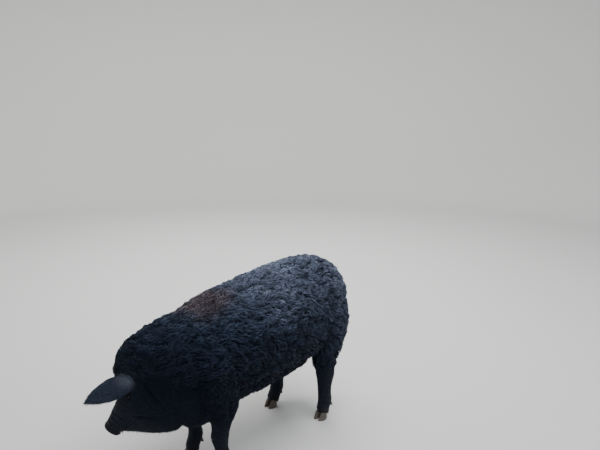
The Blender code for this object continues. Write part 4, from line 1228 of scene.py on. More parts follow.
@dataclass
class Skin:
    """The whole skin as one surface: body, head, ears, snout, lids and tail."""

    voxel: float = 0.0070
    head: Head = field(default_factory=Head)
    trunk: Trunk = field(default_factory=Trunk)
    neck: Neck = field(default_factory=Neck)
    tail: Tail = field(default_factory=Tail)
    legs: list[Leg] = field(default_factory=legs)
    ears: list[Ear] = field(default_factory=list)
    sockets: list[EyeSocket] = field(default_factory=list)

    def __post_init__(self) -> None:
        """Adds the ears and finds the eyes."""
        self.ears = [Ear(self.head, 1, (0.790, 0.354, 0.500)), Ear(self.head, -1, (0.640, 0.700, -0.020))]
        for side, node in ((1, "eye_left"), (-1, "eye_right")):
            socket = EyeSocket(self.head, side)
            socket.find(node)
            self.sockets.append(socket)

    def blended(self, points: np.ndarray) -> np.ndarray:
        """How much more each point is evened out, over the shoulders and loins.

        Args:
            points: The points.

        Returns:
            A column of shares.
        """
        x, z = points[:, 0], points[:, 2]
        shoulder = np.clip((x - 0.10) / 0.10, 0, 1) * np.clip((0.56 - x) / 0.10, 0, 1)
        haunch = np.clip((x + 0.50) / 0.08, 0, 1) * np.clip((-0.16 - x) / 0.10, 0, 1)
        return (np.maximum(shoulder, haunch) * np.clip((z - 0.26) / 0.12, 0, 1))[:, None]

    def body(self) -> bpy.types.Object:
        """Trunk, neck, head and legs as one smooth form.

        Returns:
            The form, before its face, ears, snout and tail.
        """
        bm = bmesh.new()
        self.trunk.build(bm)
        self.neck.build(bm)
        self.head.build(bm)
        for leg in self.legs:
            leg.build(bm)
        body = as_object("skin", bm)
        remesh = body.modifiers.new("Skin", "REMESH")
        remesh.mode = "VOXEL"
        remesh.voxel_size = self.voxel
        applied(body)
        evened(body.data, 24)
        evened(body.data, 50, self.blended(read_points(body.data)))
        return body

    def refine_head(self, body: bpy.types.Object) -> None:
        """Splits the faces of the face in four, so that they can hold its relief.

        Args:
            body: The body.
        """
        bm = bmesh.new()
        bm.from_mesh(body.data)
        back = self.head.frame().inverted()
        chosen = set()
        for face in bm.faces:
            spot = back @ face.calc_center_median()
            if spot.x > -0.01 and abs(spot.y) < 0.15 and -0.25 < spot.z < 0.14:
                chosen.update(face.edges)
        bmesh.ops.subdivide_edges(bm, edges=list(chosen), cuts=1, use_grid_fill=True)
        bm.to_mesh(body.data)
        bm.free()

    def shape_face(self, body: bpy.types.Object) -> None:
        """Moves the points of the face by its relief.

        Args:
            body: The body.
        """
        points = read_points(body.data)
        spots = self.head.inside(points)
        face = ((spots[:, 0] > -0.03) & (np.abs(spots[:, 1]) < 0.15) & (np.abs(spots[:, 2]) < 0.25))[:, None]
        evened(body.data, 6, face * 1.0)
        points = read_points(body.data)
        normals = read_points(body.data, "normal")
        spots = self.head.inside(points)
        write_points(body.data, points + normals * (self.head.relief(spots)[:, None] * face))

    def build(self) -> bpy.types.Object:
        """Builds the skin, in the frame of its sizes.

        Returns:
            The skin.
        """
        body = self.body()
        self.refine_head(body)
        self.shape_face(body)
        combine(body, self.head.snout(), "UNION")
        combine(body, self.head.mouth_slit(), "DIFFERENCE")
        for side in (1, -1):
            combine(body, self.head.nostril(side), "DIFFERENCE")
        for ear in self.ears:
            combine(body, ear.build(), "UNION")
        combine(body, self.tail.build(), "UNION")
        for socket in self.sockets:
            combine(body, socket.ball("lids", socket.radius + socket.lid), "UNION")
        for socket in self.sockets:
            combine(body, socket.ball("hollow", socket.radius + 0.0002), "DIFFERENCE")
            combine(body, socket.slit(), "DIFFERENCE")
        self.soften_joins(body)
        return body

    def soften_joins(self, body: bpy.types.Object) -> None:
        """Rounds the crease where each ear, the tail and the lids leave the body.

        Args:
            body: The skin.
        """
        points = read_points(body.data)
        joins = [(self.head.frame() @ ear.mirrored(ear.root), 0.045) for ear in self.ears]
        joins.append((self.tail.path[1][:3], 0.035))
        share = np.zeros(len(points))
        for root, width in joins:
            share = np.maximum(share, ridge(distances(points, root), width))
        for socket in self.sockets:
            lids = window(distances(points, socket.centre), 0.0148, 0.022, 0.002)
            share = np.maximum(share, 0.55 * lids)
        evened(body.data, 7, share[:, None], 0.50)

    def unwrap(self, body: bpy.types.Object) -> None:
        """Gives the skin an unwrap of its own shape, in the map that the coat shares.

        Args:
            body: The skin.
        """
        bpy.ops.object.select_all(action="DESELECT")
        bpy.context.view_layer.objects.active = body
        body.select_set(True)
        body.data.uv_layers.new(name=UNWRAP)
        bpy.ops.object.mode_set(mode="EDIT")
        bpy.ops.mesh.select_all(action="SELECT")
        bpy.ops.uv.smart_project(angle_limit=math.radians(70), island_margin=0.002)
        bpy.ops.object.mode_set(mode="OBJECT")


# The coat


@dataclass
class Roots:
    """Places on the skin: points, ways out of it, and their places on its unwrap."""

    points: np.ndarray
    normals: np.ndarray
    maps: np.ndarray

    def kept(self, mask: np.ndarray) -> "Roots":
        """The roots that a mask or a list of numbers picks."""
        return Roots(self.points[mask], self.normals[mask], self.maps[mask])

    def squared(self, ways: np.ndarray) -> "Roots":
        """The same roots, with their ways out made square to the ways that the tufts run."""
        return Roots(self.points, units(square_to(ways, self.normals)), self.maps)


@dataclass
class SkinField:
    """The skin's triangles as arrays, from which the coat takes its roots."""

    corners: np.ndarray
    normals: np.ndarray
    maps: np.ndarray
    areas: np.ndarray

    @classmethod
    def read(cls, body: bpy.types.Object) -> "SkinField":
        """Reads the triangles of the unwrapped skin.

        Args:
            body: The skin.

        Returns:
            Its triangles.
        """
        mesh = body.data
        mesh.calc_loop_triangles()
        count = len(mesh.loop_triangles)
        corners = np.empty(count * 3, np.int32)
        loops = np.empty(count * 3, np.int32)
        mesh.loop_triangles.foreach_get("vertices", corners)
        mesh.loop_triangles.foreach_get("loops", loops)
        maps = np.empty(len(mesh.loops) * 2)
        mesh.uv_layers[UNWRAP].data.foreach_get("uv", maps)
        points = read_points(mesh)[corners].reshape(-1, 3, 3)
        normals = read_points(mesh, "normal")[corners].reshape(-1, 3, 3)
        spans = np.cross(points[:, 1] - points[:, 0], points[:, 2] - points[:, 0])
        areas = np.linalg.norm(spans, axis=1) / 2
        return cls(points, normals, maps.reshape(-1, 2)[loops].reshape(-1, 3, 2), areas)

    def scatter(self, share: np.ndarray, count: int, draw: np.random.Generator) -> Roots:
        """Spreads roots over the skin, with no two in one small cell.

        Args:
            share: How thickly each triangle is covered.
            count: About how many roots.
            draw: The random draw.

        Returns:
            The roots.
        """
        weight = self.areas * share
        picks = draw.choice(len(weight), size=count * 5, p=weight / weight.sum())
        a, b = np.sqrt(draw.random(len(picks))), draw.random(len(picks))
        parts = np.stack([1 - a, a * (1 - b), a * b], axis=1)[:, :, None]
        points = (self.corners[picks] * parts).sum(axis=1)
        normals = units((self.normals[picks] * parts).sum(axis=1))
        maps = (self.maps[picks] * parts).sum(axis=1)
        # Halves the range of the cell's size until about count cells hold a root
        low, high = 0.0005, 0.05
        for _ in range(14):
            size = (low + high) / 2
            cells = np.floor(points / size).astype(np.int64) + 4096
            codes = (cells[:, 0] << 28) + (cells[:, 1] << 14) + cells[:, 2]
            first = np.unique(codes, return_index=True)[1]
            low, high = (size, high) if len(first) > count else (low, size)
        return Roots(points, normals, maps).kept(first)


def room(roots: Roots, ways: np.ndarray) -> np.ndarray:
    """How far each tuft can run before it would pass the box of the solids.

    Args:
        roots: The tufts' roots.
        ways: The way each tuft runs.

    Returns:
        The lengths.
    """
    ends = np.where(ways > 0, HIGH, LOW)
    ways = np.where(np.abs(ways) < 0.05, np.copysign(0.05, ways), ways)
    return np.maximum((ends - roots.points) / ways, 0.002).min(axis=1)


def leaned(middles: np.ndarray, shares: np.ndarray) -> np.ndarray:
    """Leans the tufts that would pass the box of the solids back into it.

    Args:
        middles: Their middle points, by ring, tuft and axis.
        shares: The share of the length at each ring.

    Returns:
        The middle points, each moved by its share of the lean.
    """
    parts = np.maximum(shares, 0.1)[:, None, None]
    short = np.maximum((LOW + BOX_GAP - middles) / parts, 0).max(axis=0)
    past = np.maximum((middles - HIGH + BOX_GAP) / parts, 0).max(axis=0)
    return middles + shares[:, None, None] * (short - past)


@dataclass
class Tufts:
    """Many tufts of one kind: each a tapered, curling lock of three sides, closed at both ends."""

    roots: Roots
    ways: np.ndarray
    length: np.ndarray
    width: np.ndarray
    lift: np.ndarray
    curl: np.ndarray
    roll: np.ndarray
    tone: np.ndarray
    rings: int = 5
    wave: float = 0.0
    waves: float = 2.0
    flat: float = 0.42
    peak: float = 0.55
    fall: float = 0.50
    sink: float = 0.0018
    patch: float = 0.003

    def spines(self, shares: np.ndarray, turn: np.ndarray) -> np.ndarray:
        """The middle line of every tuft.

        Args:
            shares: The share of the length at each ring.
            turn: How far each tuft curls.

        Returns:
            Points by ring, tuft and axis.
        """
        out, way = self.roots.normals, self.ways
        side = np.cross(out, way)
        middles = []
        for k, t in enumerate(shares):
            ahead = self.length * np.sin(turn * t) / turn
            across = self.length * (1 - np.cos(turn * t)) / turn
            if self.wave:
                across = across + self.wave * t * np.sin(2 * math.pi * self.waves * t + self.roll * 9)
            if t < self.peak:
                rise = 1 - (1 - t / self.peak) ** 2
            else:
                rise = 1 - self.fall * ((t - self.peak) / (1 - self.peak)) ** 2
            up = self.lift * rise - (self.sink if k == 0 else 0.0)
            middles.append(self.roots.points + way * ahead[:, None] + side * across[:, None]
                           + out * up[:, None])
        return leaned(np.array(middles), shares)

    def points(self) -> tuple[np.ndarray, np.ndarray]:
        """The points of every tuft.

        Returns:
            Points by tuft, point and axis, and the share of the length at each point of a tuft.
        """
        out, way = self.roots.normals, self.ways
        side = np.cross(out, way)
        shares = np.linspace(0, 1, self.rings + 1)
        turn = np.where(np.abs(self.curl) < 1e-3, 1e-3, self.curl)
        spines = self.spines(shares, turn)
        rows = []
        for t, middle in zip(shares[:-1], spines):
            wide = self.width / 2 * np.interp(t, (0, 0.2, 0.45, 0.7, 0.88, 1.0),
                                              (0.55, 0.95, 1.0, 0.78, 0.45, 0.0))
            flank = swung(side, -way, turn * t)
            lean = self.roll + 0.6 * turn * t
            flank, crown = swung(flank, out, lean), swung(out, -flank, lean)
            rows.append(np.stack([middle - flank * wide[:, None], middle + flank * wide[:, None],
                                  middle + crown * (wide * 2 * self.flat)[:, None]], axis=1))
        rows.append(spines[-1][:, None])
        return np.concatenate(rows, axis=1), np.append(np.repeat(shares[:-1], 3), 1.0)

    def faces(self) -> np.ndarray:
        """The triangles of one tuft, by its own points.

        Returns:
            Rows of three numbers.
        """
        faces = [(0, 1, 2)]
        for k in range(self.rings - 1):
            for j in range(3):
                a, b = 3 * k + j, 3 * k + (j + 1) % 3
                c, d = a + 3, b + 3
                faces += [(a, c, d), (a, d, b)]
        last = 3 * (self.rings - 1)
        faces += [(last + j, last + 3, last + (j + 1) % 3) for j in range(3)]
        return np.array(faces)

    def build(self, name: str, most: int = 190000) -> list[bpy.types.Object]:
        """Makes the pieces.

        Args:
            name: The pieces' name, which a number follows.
            most: The most triangles of one piece.

        Returns:
            The pieces.
        """
        points, along = self.points()
        faces = self.faces()
        per, each = points.shape[1], max(1, most // len(faces))
        across = np.append(np.tile((0.0, 1.0, 0.5), self.rings), 0.5)
        patch = np.stack([along - 0.5, across - 0.5], axis=1) * self.patch
        pieces = []
        for number, start in enumerate(range(0, len(points), each)):
            some = points[start:start + each]
            count = len(some)
            index = (faces[None] + per * np.arange(count)[:, None, None]).reshape(-1)
            mesh = bpy.data.meshes.new(f"{name}_{number + 1}")
            mesh.vertices.add(count * per)
            mesh.vertices.foreach_set("co", some.ravel())
            mesh.loops.add(len(index))
            mesh.loops.foreach_set("vertex_index", index)
            mesh.polygons.add(len(index) // 3)
            mesh.polygons.foreach_set("loop_start", np.arange(0, len(index), 3))
            mesh.update(calc_edges=True)
            mesh.shade_smooth()
            spots = (self.roots.maps[start:start + each, None] + patch[None]).reshape(-1, 2)
            mesh.uv_layers.new(name=UNWRAP).data.foreach_set("uv", spots[index].ravel())
            thing = placed(mesh.name, mesh)
            mark(thing, "along", np.tile(along, count))
            mark(thing, "across", np.tile(across, count))
            mark(thing, "tone", np.repeat(self.tone[start:start + each], per))
            pieces.append(thing)
        return pieces


class Region(Enum):
    """Parts of the animal, each with hair of its own kind."""

    BODY = "coat_body"
    FACE = "coat_face"
    LEG = "coat_leg"
    EAR = "coat_ear"
    TAIL = "coat_tail"


@dataclass(frozen=True)
class Hair:
    """The hair of one region: how many tufts, and their sizes in metres."""

    count: int
    length: tuple[float, float]
    width: tuple[float, float]
    lift: tuple[float, float]
    curl: tuple[float, float]
    rings: int
    stray: float


HAIR = {
    Region.BODY: Hair(46000, (0.028, 0.048), (0.0034, 0.0058), (0.005, 0.015), (1.5, 3.3), 4, 0.24),
    Region.FACE: Hair(18000, (0.009, 0.016), (0.0011, 0.0019), (0.0008, 0.0022), (0.1, 0.6), 2, 0.20),
    Region.LEG: Hair(15000, (0.015, 0.025), (0.0014, 0.0023), (0.0010, 0.0026), (0.1, 0.7), 2, 0.17),
    Region.EAR: Hair(8000, (0.009, 0.017), (0.0009, 0.0016), (0.0008, 0.0024), (0.1, 0.6), 2, 0.26),
    Region.TAIL: Hair(1600, (0.014, 0.026), (0.0014, 0.0024), (0.0008, 0.0024), (0.2, 1.2), 3, 0.24),
}


@dataclass
class Clumps:
    """The middles of the coat's clumps, round which the tufts gather and curl alike."""

    centres: np.ndarray
    turns: np.ndarray
    tones: np.ndarray

    @classmethod
    def spread(cls, surface: SkinField, share: np.ndarray, count: int,
               draw: np.random.Generator) -> "Clumps":
        """Spreads the middles over the skin.

        Args:
            surface: The skin.
            share: How thickly each triangle is covered.
            count: About how many clumps.
            draw: The random draw.

        Returns:
            The clumps.
        """
        centres = surface.scatter(share, count, draw).points
        turns = np.where(draw.random(len(centres)) < 0.5, -1.0, 1.0)
        return cls(centres, turns, draw.normal(0, 1, len(centres)))

    def nearest(self, points: np.ndarray) -> np.ndarray:
        """Finds each point's own clump.

        Args:
            points: The points.

        Returns:
            The clumps' numbers.
        """
        found = np.empty(len(points), int)
        for at in range(0, len(points), 8000):
            some = points[at:at + 8000]
            gap = (self.centres ** 2).sum(axis=1)[None] - 2 * some @ self.centres.T
            found[at:at + 8000] = gap.argmin(axis=1)
        return found


@dataclass
class Coat:
    """All the hair on the skin."""

    skin: Skin
    surface: SkinField
    draw: np.random.Generator
    clump_size: float = 0.024
    clump_count: int = 1250
    eye_ring: float = 0.0165
    claw_top: float = 0.030
    quick_share: float = 0.25
    clumps: Clumps | None = None
    pieces: list[bpy.types.Object] = field(default_factory=list)

    def head_share(self, points: np.ndarray) -> np.ndarray:
        """One on the face and none on the neck, turning over behind the ears and jowls.

        Args:
            points: Points on the skin.

        Returns:
            The share at each.
        """
        x, y, z = self.skin.head.inside(points).T
        share = step(x - 0.25 * np.clip(z, -0.15, 0.12), -0.030, 0.045)
        return share * (np.abs(y) < 0.16) * (z > -0.26) * (points[:, 0] > 0.36)

    def leg_share(self, points: np.ndarray) -> np.ndarray:
        """One on the shanks and none on the body."""
        return 1 - step(points[:, 2], 0.255, 0.345)

    def ear_share(self, points: np.ndarray) -> np.ndarray:
        """One on the ears, by how near their middle sheets are.

        Args:
            points: Points on the skin.

        Returns:
            The share at each.
        """
        share = np.zeros(len(points))
        for ear in self.skin.ears:
            sheet = ear.sheet()[0][6::3, ::3].reshape(-1, 3)
            for at in range(0, len(points), 20000):
                some = points[at:at + 20000]
                near = np.linalg.norm(some[:, None] - sheet[None], axis=2).min(axis=1)
                share[at:at + 20000] = np.maximum(share[at:at + 20000], near < 0.0125)
        return share

    def tail_share(self, points: np.ndarray) -> np.ndarray:
        """One on the tail."""
        return 1.0 * ((points[:, 0] < -0.600) & (np.abs(points[:, 1] - 0.014) < 0.030))

    def regions(self, points: np.ndarray) -> dict[Region, np.ndarray]:
        """How much of each region every point belongs to.

        Args:
            points: Points on the skin.

        Returns:
            The shares of each region.
        """
        ear, tail = self.ear_share(points), self.tail_share(points)
        rest = (1 - ear) * (1 - tail)
        leg, face = self.leg_share(points) * rest, self.head_share(points) * rest
        return {Region.BODY: np.clip(rest - leg - face, 0, 1), Region.FACE: face, Region.LEG: leg,
                Region.EAR: ear, Region.TAIL: tail * (1 - ear)}

    def lie(self, region: Region, roots: Roots) -> np.ndarray:
        """The way each tuft runs along the skin.

        Args:
            region: Where it grows.
            roots: The tufts' roots.

        Returns:
            Unit vectors along the skin.
        """
        points, out = roots.points, roots.normals
        x, y, z = points.T
        rump = np.clip((-0.42 - x) / 0.14, 0, 1)
        leg = np.clip((0.52 - z) / 0.16, 0, 1) * (np.abs(y) > 0.05)
        down = np.maximum(rump, leg)[:, None]
        turn = np.array(self.skin.head.frame().to_3x3())
        if region is Region.BODY:
            way = np.array((-1.0, 0, -0.45)) * (1 - down) + np.array((-0.15, 0, -1.0)) * down
            near = np.clip((x - 0.38) / 0.14, 0, 1)[:, None]
            way = way * (1 - near) + (turn @ np.array((-0.9, 0, -0.35))) * near
        elif region is Region.FACE:
            way = turn @ np.array((-1.0, 0, -0.10))
        elif region is Region.LEG:
            way = np.array((-0.12, 0, -1.0))
        elif region is Region.TAIL:
            way = np.array((-0.10, 0, -1.0))
        else:
            first, second = self.skin.ears
            gaps = [distances(points, ear.sheet()[0][12:30:4, 10:20:4].mean(axis=(0, 1)))
                    for ear in (first, second)]
            way = np.where((gaps[0] < gaps[1])[:, None], turn @ np.array(first.mirrored(first.way)),
                           turn @ np.array(second.mirrored(second.way)))
        swirl = (0.26 * np.sin(x * 31 + z * 23 + 1.0) + 0.22 * np.sin(y * 37 - z * 29 + x * 11)
                 + 0.16 * np.sin(x * 67 - y * 53 + z * 41))
        swirl = swirl * (1.0 if region is Region.BODY else 0.35)
        swirl += self.draw.normal(0, HAIR[region].stray, len(points))
        way = units(square_to(out, way))
        return swung(way, np.cross(out, way), swirl)

    def haired(self, roots: Roots) -> np.ndarray:
        """Marks the roots that keep clear of the eyes, the snout's disc and the claws.

        Args:
            roots: The roots.

        Returns:
            True where hair grows.
        """
        clear = roots.points[:, 2] > self.claw_top
        for socket in self.skin.sockets:
            clear &= distances(roots.points, socket.centre) > self.eye_ring
        x, y, z = self.skin.head.inside(roots.points).T
        return clear & ~((x > 0.262) & (np.abs(y) < 0.06) & (np.abs(z) < 0.06))

    def sizes(self, region: Region, points: np.ndarray) -> np.ndarray:
        """How large the tufts are, by place.

        Args:
            region: Where they grow.
            points: Their roots.

        Returns:
            The size of each, 1 where its region's hair is at its own size.
        """
        x, y, _ = self.skin.head.inside(points).T
        if region is Region.BODY:
            short = 1 - 0.62 * np.maximum(self.head_share(points), self.leg_share(points))
            return short * (1 - 0.30 * step(x, -0.22, -0.02) * (np.abs(y) < 0.2))
        if region is Region.FACE:
            return 1.25 - 0.75 * step(x, 0.02, 0.24)
        if region is Region.LEG:
            return 0.70 + 0.45 * step(points[:, 2], 0.05, 0.28)
        return np.ones(len(points))

    def gathered(self, roots: Roots, way: np.ndarray, curl: np.ndarray, lift: np.ndarray,
                 tone: np.ndarray) -> tuple[np.ndarray, ...]:
        """Draws the tufts of the body to the middles of their clumps.

        Args:
            roots: The tufts' roots.
            way: The way each runs.
            curl: How far each curls.
            lift: How far each rises.
            tone: How light each is.

        Returns:
            The new ways, curls, lifts and tones.
        """
        own = self.clumps.nearest(roots.points)
        gap = self.clumps.centres[own] - roots.points
        far = np.clip(np.linalg.norm(gap, axis=1) / self.clump_size, 0, 1.3)
        gap = square_to(roots.normals, gap + way * (0.9 * self.clump_size))
        way = units(way * 0.85 + gap / self.clump_size * 0.40)
        curl = np.abs(curl) * self.clumps.turns[own] + self.draw.normal(0, 0.35, len(own))
        way = swung(way, -np.cross(roots.normals, way), curl * 0.46)
        tone = tone + (0.13 * self.clumps.tones[own] + 0.22 * (0.55 - far))
        return way, curl, lift * (1.30 - 0.60 * far ** 2), tone

    def grow(self, region: Region, share: np.ndarray, counts: float = 1.0) -> None:
        """Covers one region.

        Args:
            region: The region.
            share: How much of it each triangle belongs to.
            counts: How much of its number of tufts is made.
        """
        hair = HAIR[region]
        roots = self.surface.scatter(share, int(hair.count * counts), self.draw)
        roots = roots.kept(self.haired(roots))
        count = len(roots.points)
        size = self.sizes(region, roots.points)
        way = self.lie(region, roots)
        curl = self.draw.uniform(*hair.curl, count) * np.where(self.draw.random(count) < 0.5, -1, 1)
        length = self.draw.uniform(*hair.length, count) * size
        lift = self.draw.uniform(*hair.lift, count) * size ** 1.3
        tone = self.draw.normal(0.5, 0.15, count)
        if region is Region.BODY:
            way, curl, lift, tone = self.gathered(roots, way, curl, lift, tone)
        width = self.draw.uniform(*hair.width, count) * (0.35 + 0.65 * size)
        roll = self.draw.normal(0, 0.35, count)
        pieces = Tufts(roots, way, np.minimum(length, room(roots, way)), width, lift, curl, roll,
                       np.clip(tone, 0, 1), hair.rings).build(region.value)
        if region is Region.EAR:
            for piece in pieces:
                mark(piece, "ear", np.ones(len(piece.data.vertices)))
        self.pieces += pieces

    def build(self) -> list[bpy.types.Object]:
        """Covers the whole skin.

        Returns:
            The pieces.
        """
        shares = self.regions(self.surface.corners.mean(axis=1))
        self.clumps = Clumps.spread(self.surface, shares[Region.BODY], self.clump_count, self.draw)
        for region, share in shares.items():
            self.grow(region, share, 1.0)
        return self.pieces


@dataclass
class Switch:
    """The long wavy hair at the end of the tail."""

    draw: np.random.Generator
    count: int = 620

    def build(self, surface: SkinField) -> list[bpy.types.Object]:
        """Makes the hair, rooted round the lower tail.

        Args:
            surface: The skin.

        Returns:
            The pieces.
        """
        x, y, z = surface.corners.mean(axis=1).T
        share = 1.0 * ((x < -0.60) & (z < 0.520) & (z > 0.40) & (np.abs(y - 0.02) < 0.03))
        roots = surface.scatter(share, self.count, self.draw)
        count, uniform = len(roots.points), self.draw.uniform
        flare = roots.normals * (0.15, 1.0, 0.0) * uniform(0.02, 0.17, (count, 1)) + (0.025, 0, 0)
        way = units(np.array((0.0, 0.0, -1.0)) + flare)
        length = roots.points[:, 2] - uniform(0.302, 0.375, count)
        width, lift = uniform(0.0016, 0.0030, count), uniform(-0.004, 0.004, count)
        curl, roll = self.draw.normal(0, 0.10, count), uniform(-1, 1, count)
        return Tufts(roots.squared(way), way, length, width, lift, curl, roll, uniform(0.3, 0.8, count),
                     rings=9, wave=0.0045, waves=1.6).build("switch")


@dataclass
class Bristles:
    """Long single hairs on the lips, the chin and over the eyes."""

    skin: Skin
    draw: np.random.Generator
    count: int = 210
    width: float = 0.0008
    tone: float = 0.7

    def build(self, surface: SkinField) -> list[bpy.types.Object]:
        """Makes the bristles.

        Args:
            surface: The skin.

        Returns:
            The pieces.
        """
        x, y, z = self.skin.head.inside(surface.corners.mean(axis=1)).T
        y = np.abs(y)
        lips = window(x, 0.188, 0.252, 0.02) * (z < 0.015)
        chin = window(x, 0.090, 0.175, 0.02) * (z < -0.10)
        brow = window(x, 0.050, 0.085, 0.01) * window(z, 0.055, 0.085, 0.01) * window(y, 0.05, 0.10, 0.01)
        share = (lips + 0.30 * chin + 0.9 * brow) * (y < 0.14) * (z > -0.25)
        roots = surface.scatter(share, self.count, self.draw)
        count = len(roots.points)
        turn = np.array(self.skin.head.frame().to_3x3())
        way = roots.normals * 0.55 + turn @ np.array((0.35, 0, -0.45))
        way = units(way + self.draw.normal(0, 0.15, (count, 3)))
        length = np.minimum(self.draw.uniform(0.012, 0.026, count), room(roots, way))
        return Tufts(roots.squared(way), way, length, np.full(count, self.width), np.full(count, -0.002),
                     self.draw.normal(0, 0.5, count), np.zeros(count), np.full(count, self.tone),
                     rings=4).build("bristles")


@dataclass
class Eye:
    """One eyeball with its clear bulge, and the lashes of its lids."""

    socket: EyeSocket

    def ball(self, name: str) -> bpy.types.Object:
        """The eyeball, with the bulge of the cornea in front.

        Args:
            name: The piece's name.

        Returns:
            The eyeball.
        """
        eye = self.socket.ball(name, self.socket.radius - 0.0001, 48, 64)
        points = read_points(eye.data)
        from_middle = points - np.array(self.socket.centre)
        ahead = from_middle @ np.array(self.socket.look) / self.socket.radius
        bulge = 0.0007 * step(ahead, 0.80, 0.93)
        write_points(eye.data, points + from_middle / self.socket.radius * bulge[:, None])
        eye.data.shade_smooth()
        return eye

    def lashes(self, name: str, draw: np.random.Generator) -> list[bpy.types.Object]:
        """A row of stiff lashes on the upper lid, and a few on the lower.

        Args:
            name: The pieces' name.
            draw: The random draw.

        Returns:
            The pieces.
        """
        socket = self.socket
        rows = [(t, 1, draw.uniform(0.010, 0.016)) for t in np.linspace(0.25, 2.9, 34)]
        rows += [(t, -1, draw.uniform(0.005, 0.008)) for t in np.linspace(0.5, 2.6, 14)]
        points, normals, ways = [], [], []
        for t, up, _ in rows:
            t += draw.normal(0, 0.03)
            spot = socket.along * (0.0112 * math.cos(t)) + socket.across * (up * 0.0072 * math.sin(t))
            way = (spot + socket.look * 0.0105).normalized()
            points.append(socket.centre + way * (socket.radius + socket.lid * 0.8))
            out = socket.look * 0.9 + spot.normalized() * 0.5 + socket.along * draw.normal(0, 0.1)
            out.normalize()
            ways.append(out)
            normals.append((out * out.dot(socket.across * up) - socket.across * up).normalized())
        count = len(rows)
        roots = Roots(np.array(points), np.array(normals), np.full((count, 2), 0.5))
        lengths = np.array([length for _, _, length in rows])
        return Tufts(roots, np.array(ways), lengths, np.full(count, 0.0008), np.full(count, 0.0022),
                     draw.normal(0, 0.25, count), draw.normal(0, 0.2, count), np.full(count, 0.4),
                     rings=5).build(name)


@dataclass
class Claw:
    """One main claw, its sole flat on the floor, or one dewclaw behind it."""

    leg: Leg
    out: int
    length: float = 0.060
    width: float = 0.030
    height: float = 0.036
    cleft: float = 0.0030
    toe: float = 0.015

    def main_claw(self, name: str) -> bpy.types.Object:
        """The main claw, with growth rings and a worn front edge.

        Args:
            name: The piece's name.

        Returns:
            The claw.
        """
        rings = []
        side, out = self.leg.side, self.out
        heel = -0.5 * self.length + self.toe
        # Height of each ring, and its share of the claw's size
        for height, share in ((0.0, 0.925), (0.0012, 0.975), (0.003, 0.993), (0.007, 0.985), (0.011, 0.972),
                              (0.015, 0.962), (0.019, 0.946), (0.023, 0.930), (0.027, 0.905),
                              (0.031, 0.82), (0.034, 0.73), (self.height, 0.66)):
            ring = []
            slope = 1 - 0.62 * height / self.length
            for turn, c, s in circle(56):
                front = max(0.0, c) ** 2
                rough = 1 - 0.006 * (0.5 + 0.5 * math.sin(height * 1400 + 1.4 * math.sin(turn * 2)))
                y = s * self.width / 2 * (1 - 0.42 * front) - out * self.width * 0.17 * front
                x = heel + (c * 0.5 * self.length * share * rough + self.toe - heel) * slope
                middle = self.leg.foot_y() + side * out * (self.width / 2 + self.cleft)
                ring.append(Vector((self.leg.foot + x, middle + side * y * share * rough, height)))
            rings.append(ring)
        claw = lofted(name, rings)
        claw.data.shade_smooth()
        claw.data.set_sharp_from_angle(angle=math.radians(50))
        return claw

    def dewclaw(self, name: str) -> bpy.types.Object:
        """The small claw, a blunt cone that hangs back.

        Args:
            name: The piece's name.

        Returns:
            The claw.
        """
        out = self.leg.side * self.out
        root = Vector((self.leg.foot - 0.036, self.leg.foot_y() + out * 0.019, 0.088))
        tip = root + Vector((-0.016, out * 0.006, -0.030))
        rings = []
        for share, size in ((0.0, 0.80), (0.2, 0.90), (0.45, 0.97), (0.6, 0.90), (0.75, 0.78),
                            (0.88, 0.62), (0.95, 0.50), (0.99, 0.34)):
            length = 0.0084 * size
            rings.append(oval(root.lerp(tip, share), tip - root, AHEAD, 0.0093 * size, length, length, 28))
        claw = lofted(name, rings)
        claw.data.shade_smooth()
        return claw


@dataclass(frozen=True)
class EyeFinish:
    """A wet eye with a dark brown iris and a wide pupil."""

    name: str
    iris: Colour = (0.022, 0.010, 0.005)
    streak: Colour = (0.008, 0.004, 0.002)
    rim: Colour = (0.006, 0.004, 0.003)
    pupil: Colour = (0.0015, 0.0014, 0.0016)
    white: Colour = (0.030, 0.022, 0.020)

    def make(self, socket: EyeSocket) -> bpy.types.Material:
        """Builds the material round the eye's own pole.

        Args:
            socket: The eye's place.

        Returns:
            The material.
        """
        wiring = Wiring(self.name)
        place = wiring.place()
        away = wiring.away(place, socket.centre + socket.look * socket.radius)
        iris = wiring.blend(wiring.noise(place, 900.0, 3.0), self.iris, self.streak)
        colour = wiring.blend(away.rises(0.0070, 0.0078), iris, self.white)
        rim = away.rises(0.0072, 0.0066) * away.rises(0.0056, 0.0064)
        colour = wiring.blend(rim, colour, self.rim)
        colour = wiring.blend(away.rises(0.0036, 0.0031), colour, self.pupil)
        wiring.shade(Base_Color=colour, Roughness=0.12, Specular_IOR_Level=0.20, Coat_Weight=0.30,
                     Coat_Roughness=0.04)
        return wiring.material


